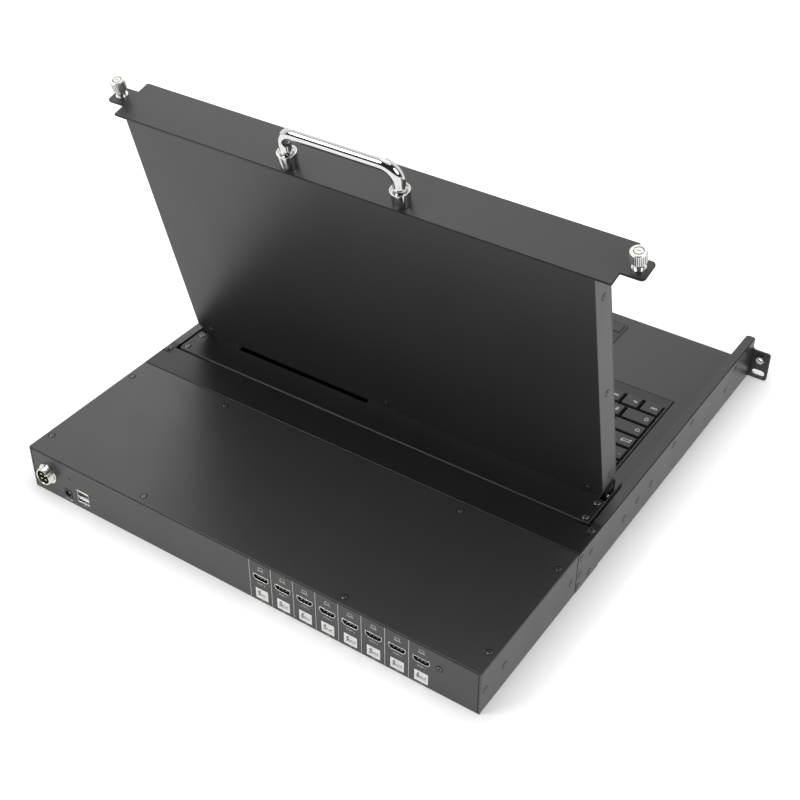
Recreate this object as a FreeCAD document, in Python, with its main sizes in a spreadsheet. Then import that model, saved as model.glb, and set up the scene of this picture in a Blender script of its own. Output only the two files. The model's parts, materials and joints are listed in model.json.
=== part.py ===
"""Rackmount LCD console drawer, one rack unit high, with an eight-port switch module at its rear.

Frame: X to the operator's right, Y to the rear, Z up. The origin is midway between the two rack
screw slots, on the front face of the rack ears. Heights are given above the underside and turned
into Z by up(). The lid's pieces are drawn closed in the hinge's own frame, where -Y runs along the
lid to its free edge, and are then opened about the hinge axis.
"""
import FreeCAD, Part
import math
import os
import re
import Sketcher

SIZES = {
    # case
    "caseWidth": 447.0,
    "caseHeight": 43.5,
    "caseDepth": 495.0,
    "wallGauge": 1.5,
    "coverGauge": 1.2,
    "seamPlace": 350.0,
    "seamGap": 0.3,
    # rack ears
    "slotHeight": 6.35,
    "earReach": 17.8,
    "slotInset": 8.75,
    "slotLength": 12.5,
    "slotWidth": 6.6,
    "earHeight": 30.2,
    "earGauge": 2.0,
    "earCorner": 2.5,
    "screwHeight": 21.75,
    "nutBore": 2.6,
    "nutCorner": 4.3,
    "nutDepth": 2.2,
    # side rails
    "railLift": 1.5,
    "flangeWidth": 8.0,
    "flangeFront": 1.5,
    "flangeCorner": 3.0,
    "lugLength": 16.0,
    # bridge between the rails
    "bridgeBend": 1.0,
    "bridgeInset": 0.5,
    "slitPlace": 326.0,
    "slitWidth": 0.8,
    "slitReach": 9.0,
    "bridgeScrewInset": 4.5,
    "bridgeFront": 311.5,
    "bridgeEdge": 318.0,
    "bridgeLip": 14.0,
    "cablePortWidth": 84.0,
    "cablePortLow": 11.0,
    "cablePortHigh": 31.0,
    # telescopic slides
    "slideDepth": 9.6,
    "slideGauge": 1.2,
    "slideTall": 27.0,
    "slideHeight": 18.5,
    "raceGap": 2.4,
    "raceClear": 0.2,
    "webGap": 1.0,
    "slideFront": 5.0,
    "outerLength": 340.0,
    "middleLength": 325.0,
    "innerLength": 306.0,
    "cageLength": 100.0,
    "cageClear": 0.3,
    "cageFront": 25.0,
    "cageRear": 195.0,
    # drawer
    "trayGauge": 1.0,
    "trayFront": 1.0,
    "trayRear": 315.0,
    "trayLift": 2.5,
    "trayRim": 26.0,
    "deckHeight": 16.0,
    "deckGauge": 1.2,
    "deckClear": 0.1,
    # hinge cover
    "hingeCoverFront": 254.0,
    "hingeCoverLip": 0.6,
    "hingeCoverCorner": 3.0,
    "notchWidth": 6.5,
    "notchDepth": 30.0,
    "lidCableLeft": 21.0,
    "lidCableRight": 165.0,
    "lidCableFront": 264.0,
    "lidCableRear": 287.0,
    # hinge
    "hingeSetback": 268.8,
    "hingeHeight": 30.3,
    "openAngle": 104.1,
    "pinRadius": 3.0,
    "pinClear": 0.05,
    "eyeRadius": 7.5,
    "armGauge": 2.5,
    "armLength": 72.0,
    "armGap": 0.3,
    "baseGauge": 2.3,
    "baseFoot": 16.0,
    "baseLength": 40.0,
    "nutAcross": 5.0,
    "pinNut": 4.0,
    # keyboard
    "keyboardWidth": 380.0,
    "keyboardFront": 100.0,
    "keyboardDepth": 122.0,
    "keyboardFit": 0.3,
    "keyboardBase": 9.0,
    "keyboardTop": 16.6,
    "keyPitch": 18.4,
    "keyRowPitch": 18.2,
    "keyGap": 1.6,
    "keyTaper": 0.9,
    "keyBottom": 14.0,
    "keyTop": 18.4,
    "keyTravel": 2.0,
    "keyClear": 0.3,
    "keySide": 2.6,
    "keyBorder": 13.6,
    "functionDepth": 11.5,
    # touchpad
    "padUnitWidth": 205.4,
    "padUnitFront": 13.0,
    "padUnitDepth": 74.0,
    "padUnitBase": 10.5,
    "padUnitTop": 16.4,
    "padUnitCorner": 4.0,
    "touchWidth": 92.0,
    "touchDepth": 56.0,
    "touchFront": 24.0,
    "touchRecess": 0.5,
    "clickWidth": 36.0,
    "clickDepth": 12.0,
    "clickFront": 17.0,
    "clickInset": 4.0,
    "clickTravel": 1.0,
    "clickTop": 16.9,
    "clickGauge": 2.0,
    "touchGauge": 1.0,
    # lid
    "lidClear": 0.4,
    "lidBottom": 21.0,
    "lidTopFace": 13.0,
    "lidFrontFace": 10.0,
    "lidGauge": 1.0,
    "lidCorner": 8.0,
    "screenSide": 19.5,
    "screenFoot": 19.0,
    "screenHead": 13.1,
    "screenFit": 0.2,
    "lcdMargin": 8.0,
    "lcdThick": 7.0,
    "armSlotClear": 0.5,
    "boardWidth": 120.0,
    "boardDepth": 60.0,
    "boardGauge": 1.6,
    "boardGap": 0.3,
    "osdFirst": 110.0,
    "osdPitch": 12.0,
    "osdPlace": 27.0,
    "osdWidth": 7.0,
    "osdDepth": 3.0,
    "osdClear": 0.2,
    "osdProud": 0.8,
    # front panel and handle
    "panelGauge": 1.7,
    "panelClear": 0.3,
    "panelHeight": 43.6,
    "panelCorner": 1.5,
    "tabHeight": 19.5,
    "tabCorner": 3.5,
    "handleHeight": 34.8,
    "handleSpan": 102.0,
    "handleRadius": 5.0,
    "handleRise": 38.0,
    "handleBend": 12.0,
    "ferruleFoot": 7.2,
    "ferruleTop": 8.1,
    "ferruleHeight": 13.5,
    "ferruleRim": 0.7,
    "ferruleDish": 1.6,
    # captive thumbscrews
    "thumbRadius": 6.3,
    "thumbFoot": 5.9,
    "thumbHeight": 10.0,
    "thumbRise": 6.0,
    "thumbTravel": 4.4,
    "thumbClear": 0.2,
    "shankRadius": 2.1,
    "collarRadius": 5.2,
    "collarFlange": 1.3,
    "sleeveRadius": 3.6,
    "sleeveBore": 2.9,
    "sleeveRise": 5.6,
    "sleeveLip": 1.0,
    "clipRadius": 2.75,
    "clipGauge": 0.8,
    # ports
    "portFirst": 24.9,
    "portPitch": 21.2,
    "hdmiWidth": 15.0,
    "hdmiTall": 5.9,
    "hdmiDepth": 11.0,
    "hdmiShell": 0.5,
    "hdmiTaper": 2.3,
    "hdmiCheek": 3.5,
    "hdmiFloor": 2.0,
    "hdmiTongueWidth": 11.2,
    "hdmiTongue": 1.1,
    "usbWidth": 12.0,
    "usbTall": 10.5,
    "usbDepth": 16.0,
    "usbShell": 1.6,
    "usbTaper": 1.9,
    "usbFloor": 5.0,
    "tongueRecess": 1.5,
    "usbTongueWidth": 5.6,
    "usbTongue": 3.2,
    "portProud": 0.4,
    "lowBoard": 1.6,
    "highBoard": 21.3,
    "standoffRadius": 2.5,
    "boardInset": 5.0,
    "boardClear": 0.5,
    "dualPlace": 165.7,
    "dualWidth": 13.1,
    "dualTall": 13.2,
    "dualDepth": 14.0,
    "dualLow": 6.9,
    "dualOpening": 5.1,
    "dualTongue": 1.8,
    "dualShell": 0.3,
    "dualFloor": 2.0,
    "jackPlace": 184.0,
    "jackHeight": 9.6,
    "jackWidth": 9.0,
    "jackDepth": 13.0,
    "jackBore": 3.1,
    "jackPin": 1.0,
    "jackFloor": 3.0,
    "roundPlace": 205.0,
    "roundHeight": 22.0,
    "roundFlange": 9.7,
    "roundBarrel": 8.0,
    "roundBore": 6.5,
    "roundFlangeGauge": 2.0,
    "roundProud": 10.0,
    "roundInside": 12.0,
    "roundPinCircle": 3.2,
    "roundPin": 0.9,
    "roundPinLength": 5.0,
    "ledPlace": 180.0,
    "ledHeight": 27.0,
    "ledRadius": 1.5,
    "ledDepth": 4.0,
    "ledProud": 0.3,
    "rearGauge": 1.5,
    # screws
    "panHead": 2.9,
    "panHeight": 1.7,
    "flatHead": 2.8,
    "flatHeight": 0.5,
    "screwInset": 5.5,
}

PORTS = 8
MAIN_ROWS = (
    (1.1, 1, 1, 1.15, 5.5, 1.15, 1, 1, 1.1, 1),
    (1.6,) + (1,) * 11 + (2.4,),
    (1.75,) + (1,) * 11 + (2.25,),
    (1.5,) + (1,) * 12 + (1.5,),
    (1,) * 13 + (2,),
    (1,) * 15,
)
PAD_ROW = (1, 1, 1, 1)
MENU_KEYS = 5

doc = FreeCAD.newDocument("ConsoleDrawer")
sheet = doc.addObject("Spreadsheet::Sheet", "Sizes")
for line, (alias, number) in enumerate(SIZES.items(), 1):
    sheet.set(f"A{line}", alias)
    sheet.set(f"B{line}", str(number))
    sheet.setAlias(f"B{line}", alias)
doc.recompute()

nodes = []


def formula(text):
    """An expression on the sheet's aliases, in the form that the document reads."""
    return re.sub("[A-Za-z]+", lambda word: SHEET_NAMES.get(word.group(), word.group()), str(text))


SHEET_NAMES = {alias: "Sizes." + alias for alias in SIZES}


def value(text):
    return float(sheet.evalExpression(formula(text)))


def bind(item, path, text):
    item.setExpression(path, formula(text))


def up(text):
    """Z of a height above the underside."""
    return f"({text}) - slotHeight"


def mirror(sign, text):
    return f"{sign}*({text})"


def lowest(sign, inner, outer):
    """The lower X of a wall that lies between two distances from the middle, on one side."""
    return inner if sign > 0 else f"-({outer})"


def node(label, item):
    item.Label = label
    nodes.append(item)
    return item


def hinged(item):
    """Opens a lid piece about the hinge axis."""
    item.Placement = FreeCAD.Placement(FreeCAD.Vector(), FreeCAD.Rotation(FreeCAD.Vector(-1, 0, 0), 1))
    bind(item, "Placement.Base.y", "hingeSetback")
    bind(item, "Placement.Base.z", up("hingeHeight"))
    bind(item, "Placement.Rotation.Angle", "openAngle")
    return item


# Sketches and features

def body(name):
    return doc.addObject("PartDesign::Body", name)


def sketch(owner, role, at="0"):
    """A sketch on one of the body's origin planes, moved to a coordinate along that plane's axis."""
    plane = next(part for part in owner.Origin.OriginFeatures if part.Role == role)
    drawing = owner.newObject("Sketcher::SketchObject", owner.Name + "Sketch")
    drawing.AttachmentSupport = [(plane, "")]
    drawing.MapMode = "FlatFace"
    sign = "-1" if role == "XZ_Plane" else "1"
    bind(drawing, "AttachmentOffset.Base.z", f"{sign}*({at})")
    return drawing


def measure(drawing, kind, place, text):
    index = drawing.addConstraint(Sketcher.Constraint(kind, *place, value(text)))
    bind(drawing, f"Constraints[{index}]", text)


def locate(drawing, index, point, x, y):
    measure(drawing, "DistanceX", (index, point), x)
    measure(drawing, "DistanceY", (index, point), y)


def outline(drawing, corners):
    """A closed outline. A corner is (x, y), or (x, y, radius) between two straight upright sides."""
    count = len(corners)
    points = [FreeCAD.Vector(value(corner[0]), value(corner[1]), 0) for corner in corners]
    ahead = [(points[(i + 1) % count] - points[i]).normalize() for i in range(count)]
    radii = [value(corner[2]) if len(corner) > 2 else 0 for corner in corners]
    level = [abs(way.y) < 1e-9 for way in ahead]
    upright = [abs(way.x) < 1e-9 for way in ahead]
    pinned = [not (level[i] or upright[i]) or not (level[i - 1] or upright[i - 1]) for i in range(count)]
    trims = [radii[i] * math.tan(ahead[i - 1].getAngle(ahead[i]) / 2) for i in range(count)]
    sides = []
    for i in range(count):
        start = points[i] + ahead[i] * trims[i]
        stop = points[(i + 1) % count] - ahead[i] * trims[(i + 1) % count]
        sides.append(drawing.addGeometry(Part.LineSegment(start, stop), False))
    for i in range(count):
        before, after = sides[i - 1], sides[i]
        if radii[i]:
            inward = (ahead[i] - ahead[i - 1]).normalize()
            reach = radii[i] / math.cos(ahead[i - 1].getAngle(ahead[i]) / 2)
            middle = points[i] + inward * (reach - radii[i])
            start = points[i] - ahead[i - 1] * trims[i]
            stop = points[i] + ahead[i] * trims[i]
            arc = drawing.addGeometry(Part.Arc(start, middle, stop), False)
            first = 1 if (drawing.getPoint(arc, 1) - start).Length < 1e-6 else 2
            drawing.addConstraint(Sketcher.Constraint("Tangent", before, 2, arc, first))
            drawing.addConstraint(Sketcher.Constraint("Tangent", arc, 3 - first, after, 1))
            measure(drawing, "Radius", (arc,), corners[i][2])
        else:
            drawing.addConstraint(Sketcher.Constraint("Coincident", before, 2, after, 1))
        if pinned[i]:
            locate(drawing, after, 1, corners[i][0], corners[i][1])
    for i in range(count):
        ends = pinned[i] + pinned[(i + 1) % count]
        for kind, straight, axis, text in (("Horizontal", level[i], "DistanceY", corners[i][1]),
                                           ("Vertical", upright[i], "DistanceX", corners[i][0])):
            if straight and ends < 2:
                drawing.addConstraint(Sketcher.Constraint(kind, sides[i]))
            if straight and ends == 0:
                measure(drawing, axis, (sides[i], 1), text)


def rectangle(drawing, x, y, width, depth, radius=None):
    """A rectangle from its lowest corner, with all its corners rounded where a radius is given."""
    corners = [(x, y), (f"{x} + {width}", y), (f"{x} + {width}", f"{y} + {depth}"), (x, f"{y} + {depth}")]
    outline(drawing, [corner + (radius,) if radius else corner for corner in corners])


def disc(drawing, x, y, radius):
    centre = FreeCAD.Vector(value(x), value(y), 0)
    circle = drawing.addGeometry(Part.Circle(centre, FreeCAD.Vector(0, 0, 1), value(radius)), False)
    locate(drawing, circle, 3, x, y)
    measure(drawing, "Radius", (circle,), radius)


def slot(drawing, x, y, length, width):
    """A level slot with round ends."""
    reach = f"({length} - {width})/2"
    left, right = value(f"{x} - {reach}"), value(f"{x} + {reach}")
    middle, radius = value(y), value(f"{width}/2")
    rounds = []
    for place, turn in ((left, math.pi / 2), (right, -math.pi / 2)):
        circle = Part.Circle(FreeCAD.Vector(place, middle, 0), FreeCAD.Vector(0, 0, 1), radius)
        rounds.append(drawing.addGeometry(Part.ArcOfCircle(circle, turn, turn + math.pi), False))
    sides = []
    for high in (radius, -radius):
        start = FreeCAD.Vector(left, middle + high, 0)
        stop = FreeCAD.Vector(right, middle + high, 0)
        sides.append(drawing.addGeometry(Part.LineSegment(start, stop), False))
    for side, left_end, right_end in ((sides[0], 1, 2), (sides[1], 2, 1)):
        drawing.addConstraint(Sketcher.Constraint("Tangent", rounds[0], left_end, side, 1))
        drawing.addConstraint(Sketcher.Constraint("Tangent", rounds[1], right_end, side, 2))
    drawing.addConstraint(Sketcher.Constraint("Equal", rounds[0], rounds[1]))
    locate(drawing, rounds[0], 3, f"{x} - {reach}", y)
    locate(drawing, rounds[1], 3, f"{x} + {reach}", y)
    measure(drawing, "Radius", (rounds[0],), f"{width}/2")


def on_front_plane(drawing):
    return "XZ_Plane" == drawing.AttachmentSupport[0][0].Role


def pad(owner, drawing, length):
    """Adds the sketch's area, from the sketch towards the higher coordinate."""
    feature = owner.newObject("PartDesign::Pad", owner.Name + "Pad")
    feature.Profile = drawing
    feature.Reversed = on_front_plane(drawing)
    bind(feature, "Length", length)
    return feature


def pocket(owner, drawing, length):
    """Removes the sketch's area, from the sketch towards the higher coordinate."""
    feature = owner.newObject("PartDesign::Pocket", owner.Name + "Pocket")
    feature.Profile = drawing
    feature.Reversed = not on_front_plane(drawing)
    bind(feature, "Length", length)
    return feature


def turned(name, corners):
    """A body turned about Z from half of its section, given as (radius, z)."""
    owner = body(name)
    drawing = sketch(owner, "XZ_Plane")
    outline(drawing, corners)
    feature = owner.newObject("PartDesign::Revolution", name + "Turn")
    feature.Profile = drawing
    feature.ReferenceAxis = (drawing, ["V_Axis"])
    feature.Angle = 360
    return owner


def plate(name, role, at, gauge, corners, holes=()):
    """A flat plate with an outline, and with rectangular or round holes."""
    owner = body(name)
    drawing = sketch(owner, role, at)
    outline(drawing, corners)
    for hole in holes:
        (disc if len(hole) == 3 else rectangle)(drawing, *hole)
    pad(owner, drawing, gauge)
    return owner


# Primitives and booleans

def block(name, x, y, z, width, depth, tall):
    box = doc.addObject("Part::Box", name)
    for path, text in (("Length", width), ("Width", depth), ("Height", tall),
                       ("Placement.Base.x", x), ("Placement.Base.y", y), ("Placement.Base.z", z)):
        bind(box, path, text)
    return box


TURNS = {
    "+z": FreeCAD.Rotation(),
    "-z": FreeCAD.Rotation(FreeCAD.Vector(1, 0, 0), 180),
    "+y": FreeCAD.Rotation(FreeCAD.Vector(1, 0, 0), -90),
    "-y": FreeCAD.Rotation(FreeCAD.Vector(1, 0, 0), 90),
    "+x": FreeCAD.Rotation(FreeCAD.Vector(0, 1, 0), 90),
    "-x": FreeCAD.Rotation(FreeCAD.Vector(0, 1, 0), -90),
}


def place(item, way, x, y, z):
    item.Placement = FreeCAD.Placement(FreeCAD.Vector(), TURNS[way])
    for path, text in (("Placement.Base.x", x), ("Placement.Base.y", y), ("Placement.Base.z", z)):
        bind(item, path, text)
    return item


def rod(name, way, x, y, z, radius, length):
    item = doc.addObject("Part::Cylinder", name)
    bind(item, "Radius", radius)
    bind(item, "Height", length)
    return place(item, way, x, y, z)


def cut(name, base, tool):
    item = doc.addObject("Part::Cut", name)
    item.Base = base
    item.Tool = tool
    return item


def fuse(name, pieces):
    item = doc.addObject("Part::MultiFuse", name)
    item.Shapes = pieces
    return item


def group(name, pieces):
    item = doc.addObject("Part::Compound", name)
    item.Links = pieces
    return item


def prism(name, way, x, y, z, across, length):
    """A hexagonal post or nut, given by the radius over its corners."""
    item = doc.addObject("Part::Prism", name)
    item.Polygon = 6
    bind(item, "Circumradius", across)
    bind(item, "Height", length)
    return place(item, way, x, y, z)


# Places worked out from the sizes

wall_inner = "(caseWidth/2 - wallGauge)"
tray_outer = f"({wall_inner} - slideDepth)"
tray_inner = f"({tray_outer} - trayGauge)"
hinge_cover_half = f"({tray_outer} + hingeCoverLip)"
lid_half = f"({tray_inner} - lidClear)"
lid_inner = f"({lid_half} - lidGauge)"
flange_edge = "(caseWidth/2 - flangeWidth)"
cover_under = "(caseHeight - coverGauge)"
rail_end = "(seamPlace - seamGap)"
ear_tip = "(caseWidth/2 + earReach)"
slot_line = f"({ear_tip} - slotInset)"
panel_back = "(-(hingeSetback + panelClear))"
panel_face = f"({panel_back} - panelGauge)"
thumb_line = "(screwHeight - hingeHeight)"
handle_line = "(handleHeight - hingeHeight)"
rear_face = "caseDepth"
arm_outer = lid_inner
arm_inner = f"({arm_outer} - armGauge)"
base_outer = f"({arm_inner} - armGap)"
base_inner = f"({base_outer} - baseGauge)"
screen_half = f"({lid_half} - screenSide)"
screen_low = "(lidBottom + screenFoot)"
screen_high = "(hingeSetback + panelClear - screenHead)"

SIDES = (("left", -1), ("right", 1))


# Chassis

def bridge_screw(sign):
    """A pan head on the bridge, above the rail's lug."""
    return rod("bridgeScrew", "+z", mirror(sign, "caseWidth/2 - bridgeScrewInset"),
               "slitPlace - bridgeScrewInset", up("caseHeight"), "panHead", "panHeight")


def side_rail(side, sign):
    """A folded channel: outer wall, top and bottom flanges, a lug for the bridge, and the rack ear."""
    owner = body(f"side_rail_{side}")
    wall = sketch(owner, "YZ_Plane", lowest(sign, wall_inner, "caseWidth/2"))
    outline(wall, [("0", up("railLift")), ("bridgeFront", up("railLift")), ("bridgeFront", up("0")),
                   (rail_end, up("0")), (rail_end, up(cover_under)),
                   ("bridgeFront - seamGap", up(cover_under)), ("bridgeFront - seamGap", up("caseHeight")),
                   ("0", up("caseHeight"), "flangeCorner")])
    pad(owner, wall, "wallGauge")
    inner, outer = mirror(sign, flange_edge), mirror(sign, "caseWidth/2")
    top = sketch(owner, "XY_Plane", up("caseHeight - wallGauge"))
    outline(top, [(outer, "flangeCorner"), (outer, "bridgeFront - seamGap"),
                  (inner, "bridgeFront - seamGap", "wallGauge"), (inner, "flangeFront", "flangeCorner"),
                  (mirror(sign, wall_inner), "flangeFront"), (mirror(sign, wall_inner), "flangeCorner")])
    pad(owner, top, "wallGauge")
    for level, front, length in (("railLift", "earGauge", "bridgeFront - 2*earGauge"),
                                 (f"{cover_under} - wallGauge", "bridgeFront", "lugLength")):
        flange = sketch(owner, "XY_Plane", up(level))
        outline(flange, [(outer, front), (outer, f"{front} + {length}"), (inner, f"{front} + {length}"),
                         (inner, front)])
        pad(owner, flange, "wallGauge")
    ear = sketch(owner, "XZ_Plane", "0")
    tip = mirror(sign, ear_tip)
    outline(ear, [(mirror(sign, wall_inner), up("0")), (tip, up("0"), "earCorner"),
                  (tip, up("earHeight"), "earCorner"), (outer, up("earHeight"), "flangeCorner"),
                  (outer, up("caseHeight - flangeCorner")),
                  (mirror(sign, wall_inner), up("caseHeight - flangeCorner"))])
    slot(ear, mirror(sign, slot_line), "0", "slotLength", "slotWidth")
    disc(ear, mirror(sign, slot_line), up("screwHeight"), "nutBore")
    pad(owner, ear, "earGauge")
    return owner


def ear_nut(side, sign):
    """The clinch nut behind the ear that a thumbscrew turns into."""
    at = (mirror(sign, slot_line), "earGauge", up("screwHeight"))
    blank = prism(f"nutBlank_{side}", "+y", *at, "nutCorner", "nutDepth")
    return cut(f"earNut_{side}", blank, rod(f"nutBore_{side}", "+y", *at, "nutBore", "nutDepth"))


def slides():
    """Three-part telescopic slides: nested channels with a cage strip in each race."""
    tip = f"{tray_outer} + slideGauge + webGap"
    channels = {"outers": [], "middles": [], "inners": []}
    strips = []
    for side, sign in SIDES:
        members = (
            ("outers", wall_inner, -1, tip, "slideTall", "outerLength"),
            ("middles", f"{wall_inner} - slideGauge - webGap", -1, tip,
             "slideTall - 2*slideGauge - 2*raceGap", "middleLength"),
            ("inners", tray_outer, 1, f"{wall_inner} - 2*slideGauge - 2*webGap",
             "slideTall - 4*slideGauge - 4*raceGap", "innerLength"),
        )
        for name, web, way, edge, tall, length in members:
            owner = body(f"slide_{side}_{name}")
            drawing = sketch(owner, "XZ_Plane", "slideFront")
            back, face = mirror(sign, web), mirror(sign, f"{web} + {way}*slideGauge")
            reach = mirror(sign, edge)
            bottom, top = f"slideHeight - ({tall})/2", f"slideHeight + ({tall})/2"
            outline(drawing, [(back, up(bottom)), (reach, up(bottom)), (reach, up(f"{bottom} + slideGauge")),
                              (face, up(f"{bottom} + slideGauge")), (face, up(f"{top} - slideGauge")),
                              (reach, up(f"{top} - slideGauge")), (reach, up(top)), (back, up(top))])
            pad(owner, drawing, length)
            channels[name].append(owner)
        inner = f"{tip} + cageClear"
        width = f"({wall_inner} - 2*slideGauge - 2*webGap) - ({inner})"
        for race, front in (("slideTall/2 - slideGauge - raceGap + raceClear", "cageRear"),
                            ("slideTall/2 - 2*slideGauge - 2*raceGap + raceClear", "cageFront")):
            for level in (f"slideHeight + {race}", f"slideHeight - ({race}) - (raceGap - 2*raceClear)"):
                strips.append(block("cageStrip", lowest(sign, inner, f"{inner} + {width}"), front,
                                    up(level), width, "cageLength", "raceGap - 2*raceClear"))
    for name, pair in channels.items():
        node(f"slide_{name}", group(f"slidePair_{name}", pair))
    node("slide_cages", group("slideCages", strips))


def cable_port(drawing):
    """The opening that the cables between the drawer and the module run through."""
    rectangle(drawing, "-cablePortWidth/2", up("cablePortLow"), "cablePortWidth",
              "cablePortHigh - cablePortLow")


def bridge():
    """The plate and pan that tie the two rails together behind the drawer."""
    half, inner = "caseWidth/2", f"({flange_edge} + bridgeInset)"
    cover = body("bridge_cover")
    profile = sketch(cover, "YZ_Plane", "-" + half)
    outline(profile, [("bridgeFront", up(cover_under)), (rail_end, up(cover_under)),
                      (rail_end, up("caseHeight"), "bridgeBend"), ("bridgeFront", up("caseHeight"))])
    pad(cover, profile, "caseWidth")
    openings = sketch(cover, "XY_Plane", up(cover_under))
    rectangle(openings, "-" + inner, "bridgeFront - seamGap", f"2*{inner}",
              "bridgeEdge - bridgeFront + seamGap")
    for side, sign in SIDES:
        rectangle(openings, lowest(sign, f"{half} - slitReach", f"{half} + seamGap"), "slitPlace",
                  "slitReach + seamGap", "slitWidth")
    pocket(cover, openings, "coverGauge")
    node("bridge_cover", cover)
    pan = body("bridge_pan")
    drawing = sketch(pan, "YZ_Plane", f"-{wall_inner}")
    outline(drawing, [("bridgeFront", up("0")), (rail_end, up("0")), (rail_end, up(cover_under)),
                      (f"{rail_end} - bridgeLip", up(cover_under)),
                      (f"{rail_end} - bridgeLip", up(f"{cover_under} - coverGauge")),
                      (f"{rail_end} - coverGauge", up(f"{cover_under} - coverGauge")),
                      (f"{rail_end} - coverGauge", up("coverGauge")), ("bridgeFront", up("coverGauge"))])
    pad(pan, drawing, f"2*{wall_inner}")
    port = sketch(pan, "XZ_Plane", f"{rail_end} - 2*coverGauge")
    cable_port(port)
    pocket(pan, port, "3*coverGauge")
    node("bridge_pan", pan)


def module_shell():
    """The switch module's pan, open at the top and rear, with a flange along each side."""
    owner = body("module_pan")
    side = sketch(owner, "XZ_Plane", "seamPlace + seamGap")
    half, inner = "caseWidth/2", "(caseWidth/2 - coverGauge)"
    lip = "(caseWidth/2 - flangeWidth)"
    outline(side, [("-" + half, up("0")), (half, up("0")), (half, up(cover_under)), (lip, up(cover_under)),
                   (lip, up(f"{cover_under} - coverGauge")), (inner, up(f"{cover_under} - coverGauge")),
                   (inner, up("coverGauge")), ("-" + inner, up("coverGauge")),
                   ("-" + inner, up(f"{cover_under} - coverGauge")),
                   ("-" + lip, up(f"{cover_under} - coverGauge")), ("-" + lip, up(cover_under)),
                   ("-" + half, up(cover_under))])
    pad(owner, side, f"{rear_face} - rearGauge - seamPlace - seamGap")
    front = sketch(owner, "XZ_Plane", "seamPlace + seamGap")
    rectangle(front, "-" + half, up("0"), "caseWidth", cover_under)
    cable_port(front)
    pad(owner, front, "coverGauge")
    node("module_pan", owner)
    top = block("moduleTop", "-" + half, "seamPlace + seamGap", up(cover_under), "caseWidth",
                f"{rear_face} - seamPlace - seamGap", "coverGauge")
    node("module_cover", top)


def bevelled(middle, flat, point, width, tall, cheek, taper, inset="0"):
    """A connector's outline: square at its flat end, and with both corners cut at the other end.

    The cheek is the height of the upright sides, and inset draws the same outline smaller all round.
    """
    way = f"({point} - ({flat}))/{tall}"
    half, narrow = f"({width}/2 - {inset})", f"({width}/2 - {taper} - {inset}/2)"
    base, side = up(f"{flat} + {way}*{inset}"), up(f"{flat} + {way}*{cheek}")
    end = up(f"{point} - {way}*{inset}")
    left = [(f"{middle} - {half}", base), (f"{middle} - {half}", side), (f"{middle} - {narrow}", end)]
    right = [(f"{middle} + {narrow}", end), (f"{middle} + {half}", side), (f"{middle} + {half}", base)]
    return left + right


def video_outline(port, inset="0"):
    low = "highBoard + boardGauge"
    return bevelled(port_line(port), f"{low} + hdmiTall", low, "hdmiWidth", "hdmiTall", "hdmiCheek",
                    "hdmiTaper", inset)


def port_line(port):
    return f"(-portFirst - {port}*portPitch)"


def rear_panel():
    """The panel that the connectors look out of."""
    owner = body("rear_panel")
    drawing = sketch(owner, "XZ_Plane", "caseDepth - rearGauge")
    rectangle(drawing, "-caseWidth/2", up("0"), "caseWidth", cover_under)
    for port in range(PORTS):
        outline(drawing, video_outline(port))
        rectangle(drawing, f"{port_line(port)} - usbWidth/2", up("lowBoard + boardGauge"),
                  "usbWidth", "usbTall")
    rectangle(drawing, "dualPlace - dualWidth/2", up("dualLow"), "dualWidth", "dualTall")
    rectangle(drawing, "jackPlace - jackWidth/2", up("jackHeight - jackWidth/2"), "jackWidth", "jackWidth")
    disc(drawing, "roundPlace", up("roundHeight"), "roundBarrel")
    disc(drawing, "ledPlace", up("ledHeight"), "ledRadius")
    pad(owner, drawing, "rearGauge")
    node("rear_panel", owner)


def socket(name, back, depth, floor, outer, inner):
    """A connector's housing: its outline run forward from its back, and hollow in front of its floor."""
    owner = body(name)
    shell = sketch(owner, "XZ_Plane", back)
    outline(shell, outer)
    pad(owner, shell, depth)
    well = sketch(owner, "XZ_Plane", f"{back} + {floor}")
    outline(well, inner)
    pocket(owner, well, f"{depth} - {floor}")
    return owner


def ports():
    """Connectors: a shell and a tongue for each, in groups."""
    shells, tongues, housings, plugs = [], [], [], []
    front = "caseDepth + portProud - hdmiDepth"
    low = "highBoard + boardGauge"
    back = "caseDepth + portProud - usbDepth"
    seat = "lowBoard + boardGauge"
    for port in range(PORTS):
        middle = port_line(port)
        shells.append(socket("hdmiPort", front, "hdmiDepth", "hdmiFloor", video_outline(port),
                             video_outline(port, "hdmiShell")))
        tongues.append(block("hdmiTongue", f"{middle} - hdmiTongueWidth/2", f"{front} + hdmiFloor",
                             up(f"{low} + hdmiTall/2 - hdmiTongue/2"), "hdmiTongueWidth",
                             "hdmiDepth - hdmiFloor - tongueRecess", "hdmiTongue"))
        left, right, crown = f"{middle} - usbWidth/2", f"{middle} + usbWidth/2", f"{seat} + usbTall"
        frame = [(left, up(seat)), (right, up(seat)), (right, up(crown)), (left, up(crown))]
        well = bevelled(middle, f"{seat} + usbShell", f"{crown} - usbShell", "(usbWidth - 2*usbShell)",
                        "(usbTall - 2*usbShell)", "(usbTall - 2*usbShell - usbTaper)", "usbTaper")
        housings.append(socket("usbPort", back, "usbDepth", "usbFloor", frame, well))
        plugs.append(block("usbTongue", f"{middle} - usbTongueWidth/2", f"{back} + usbFloor",
                           up(f"{seat} + usbTall/2 - usbTongue/2"), "usbTongueWidth",
                           "usbDepth - usbFloor - tongueRecess", "usbTongue"))
    node("hdmi_ports", group("hdmiPorts", shells))
    node("hdmi_tongues", group("hdmiTongues", tongues))
    node("usb_b_ports", group("usbPorts", housings))
    plugs += dual_port()
    node("usb_tongues", group("usbTongues", plugs))
    round_connector([power_jack()])


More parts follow.
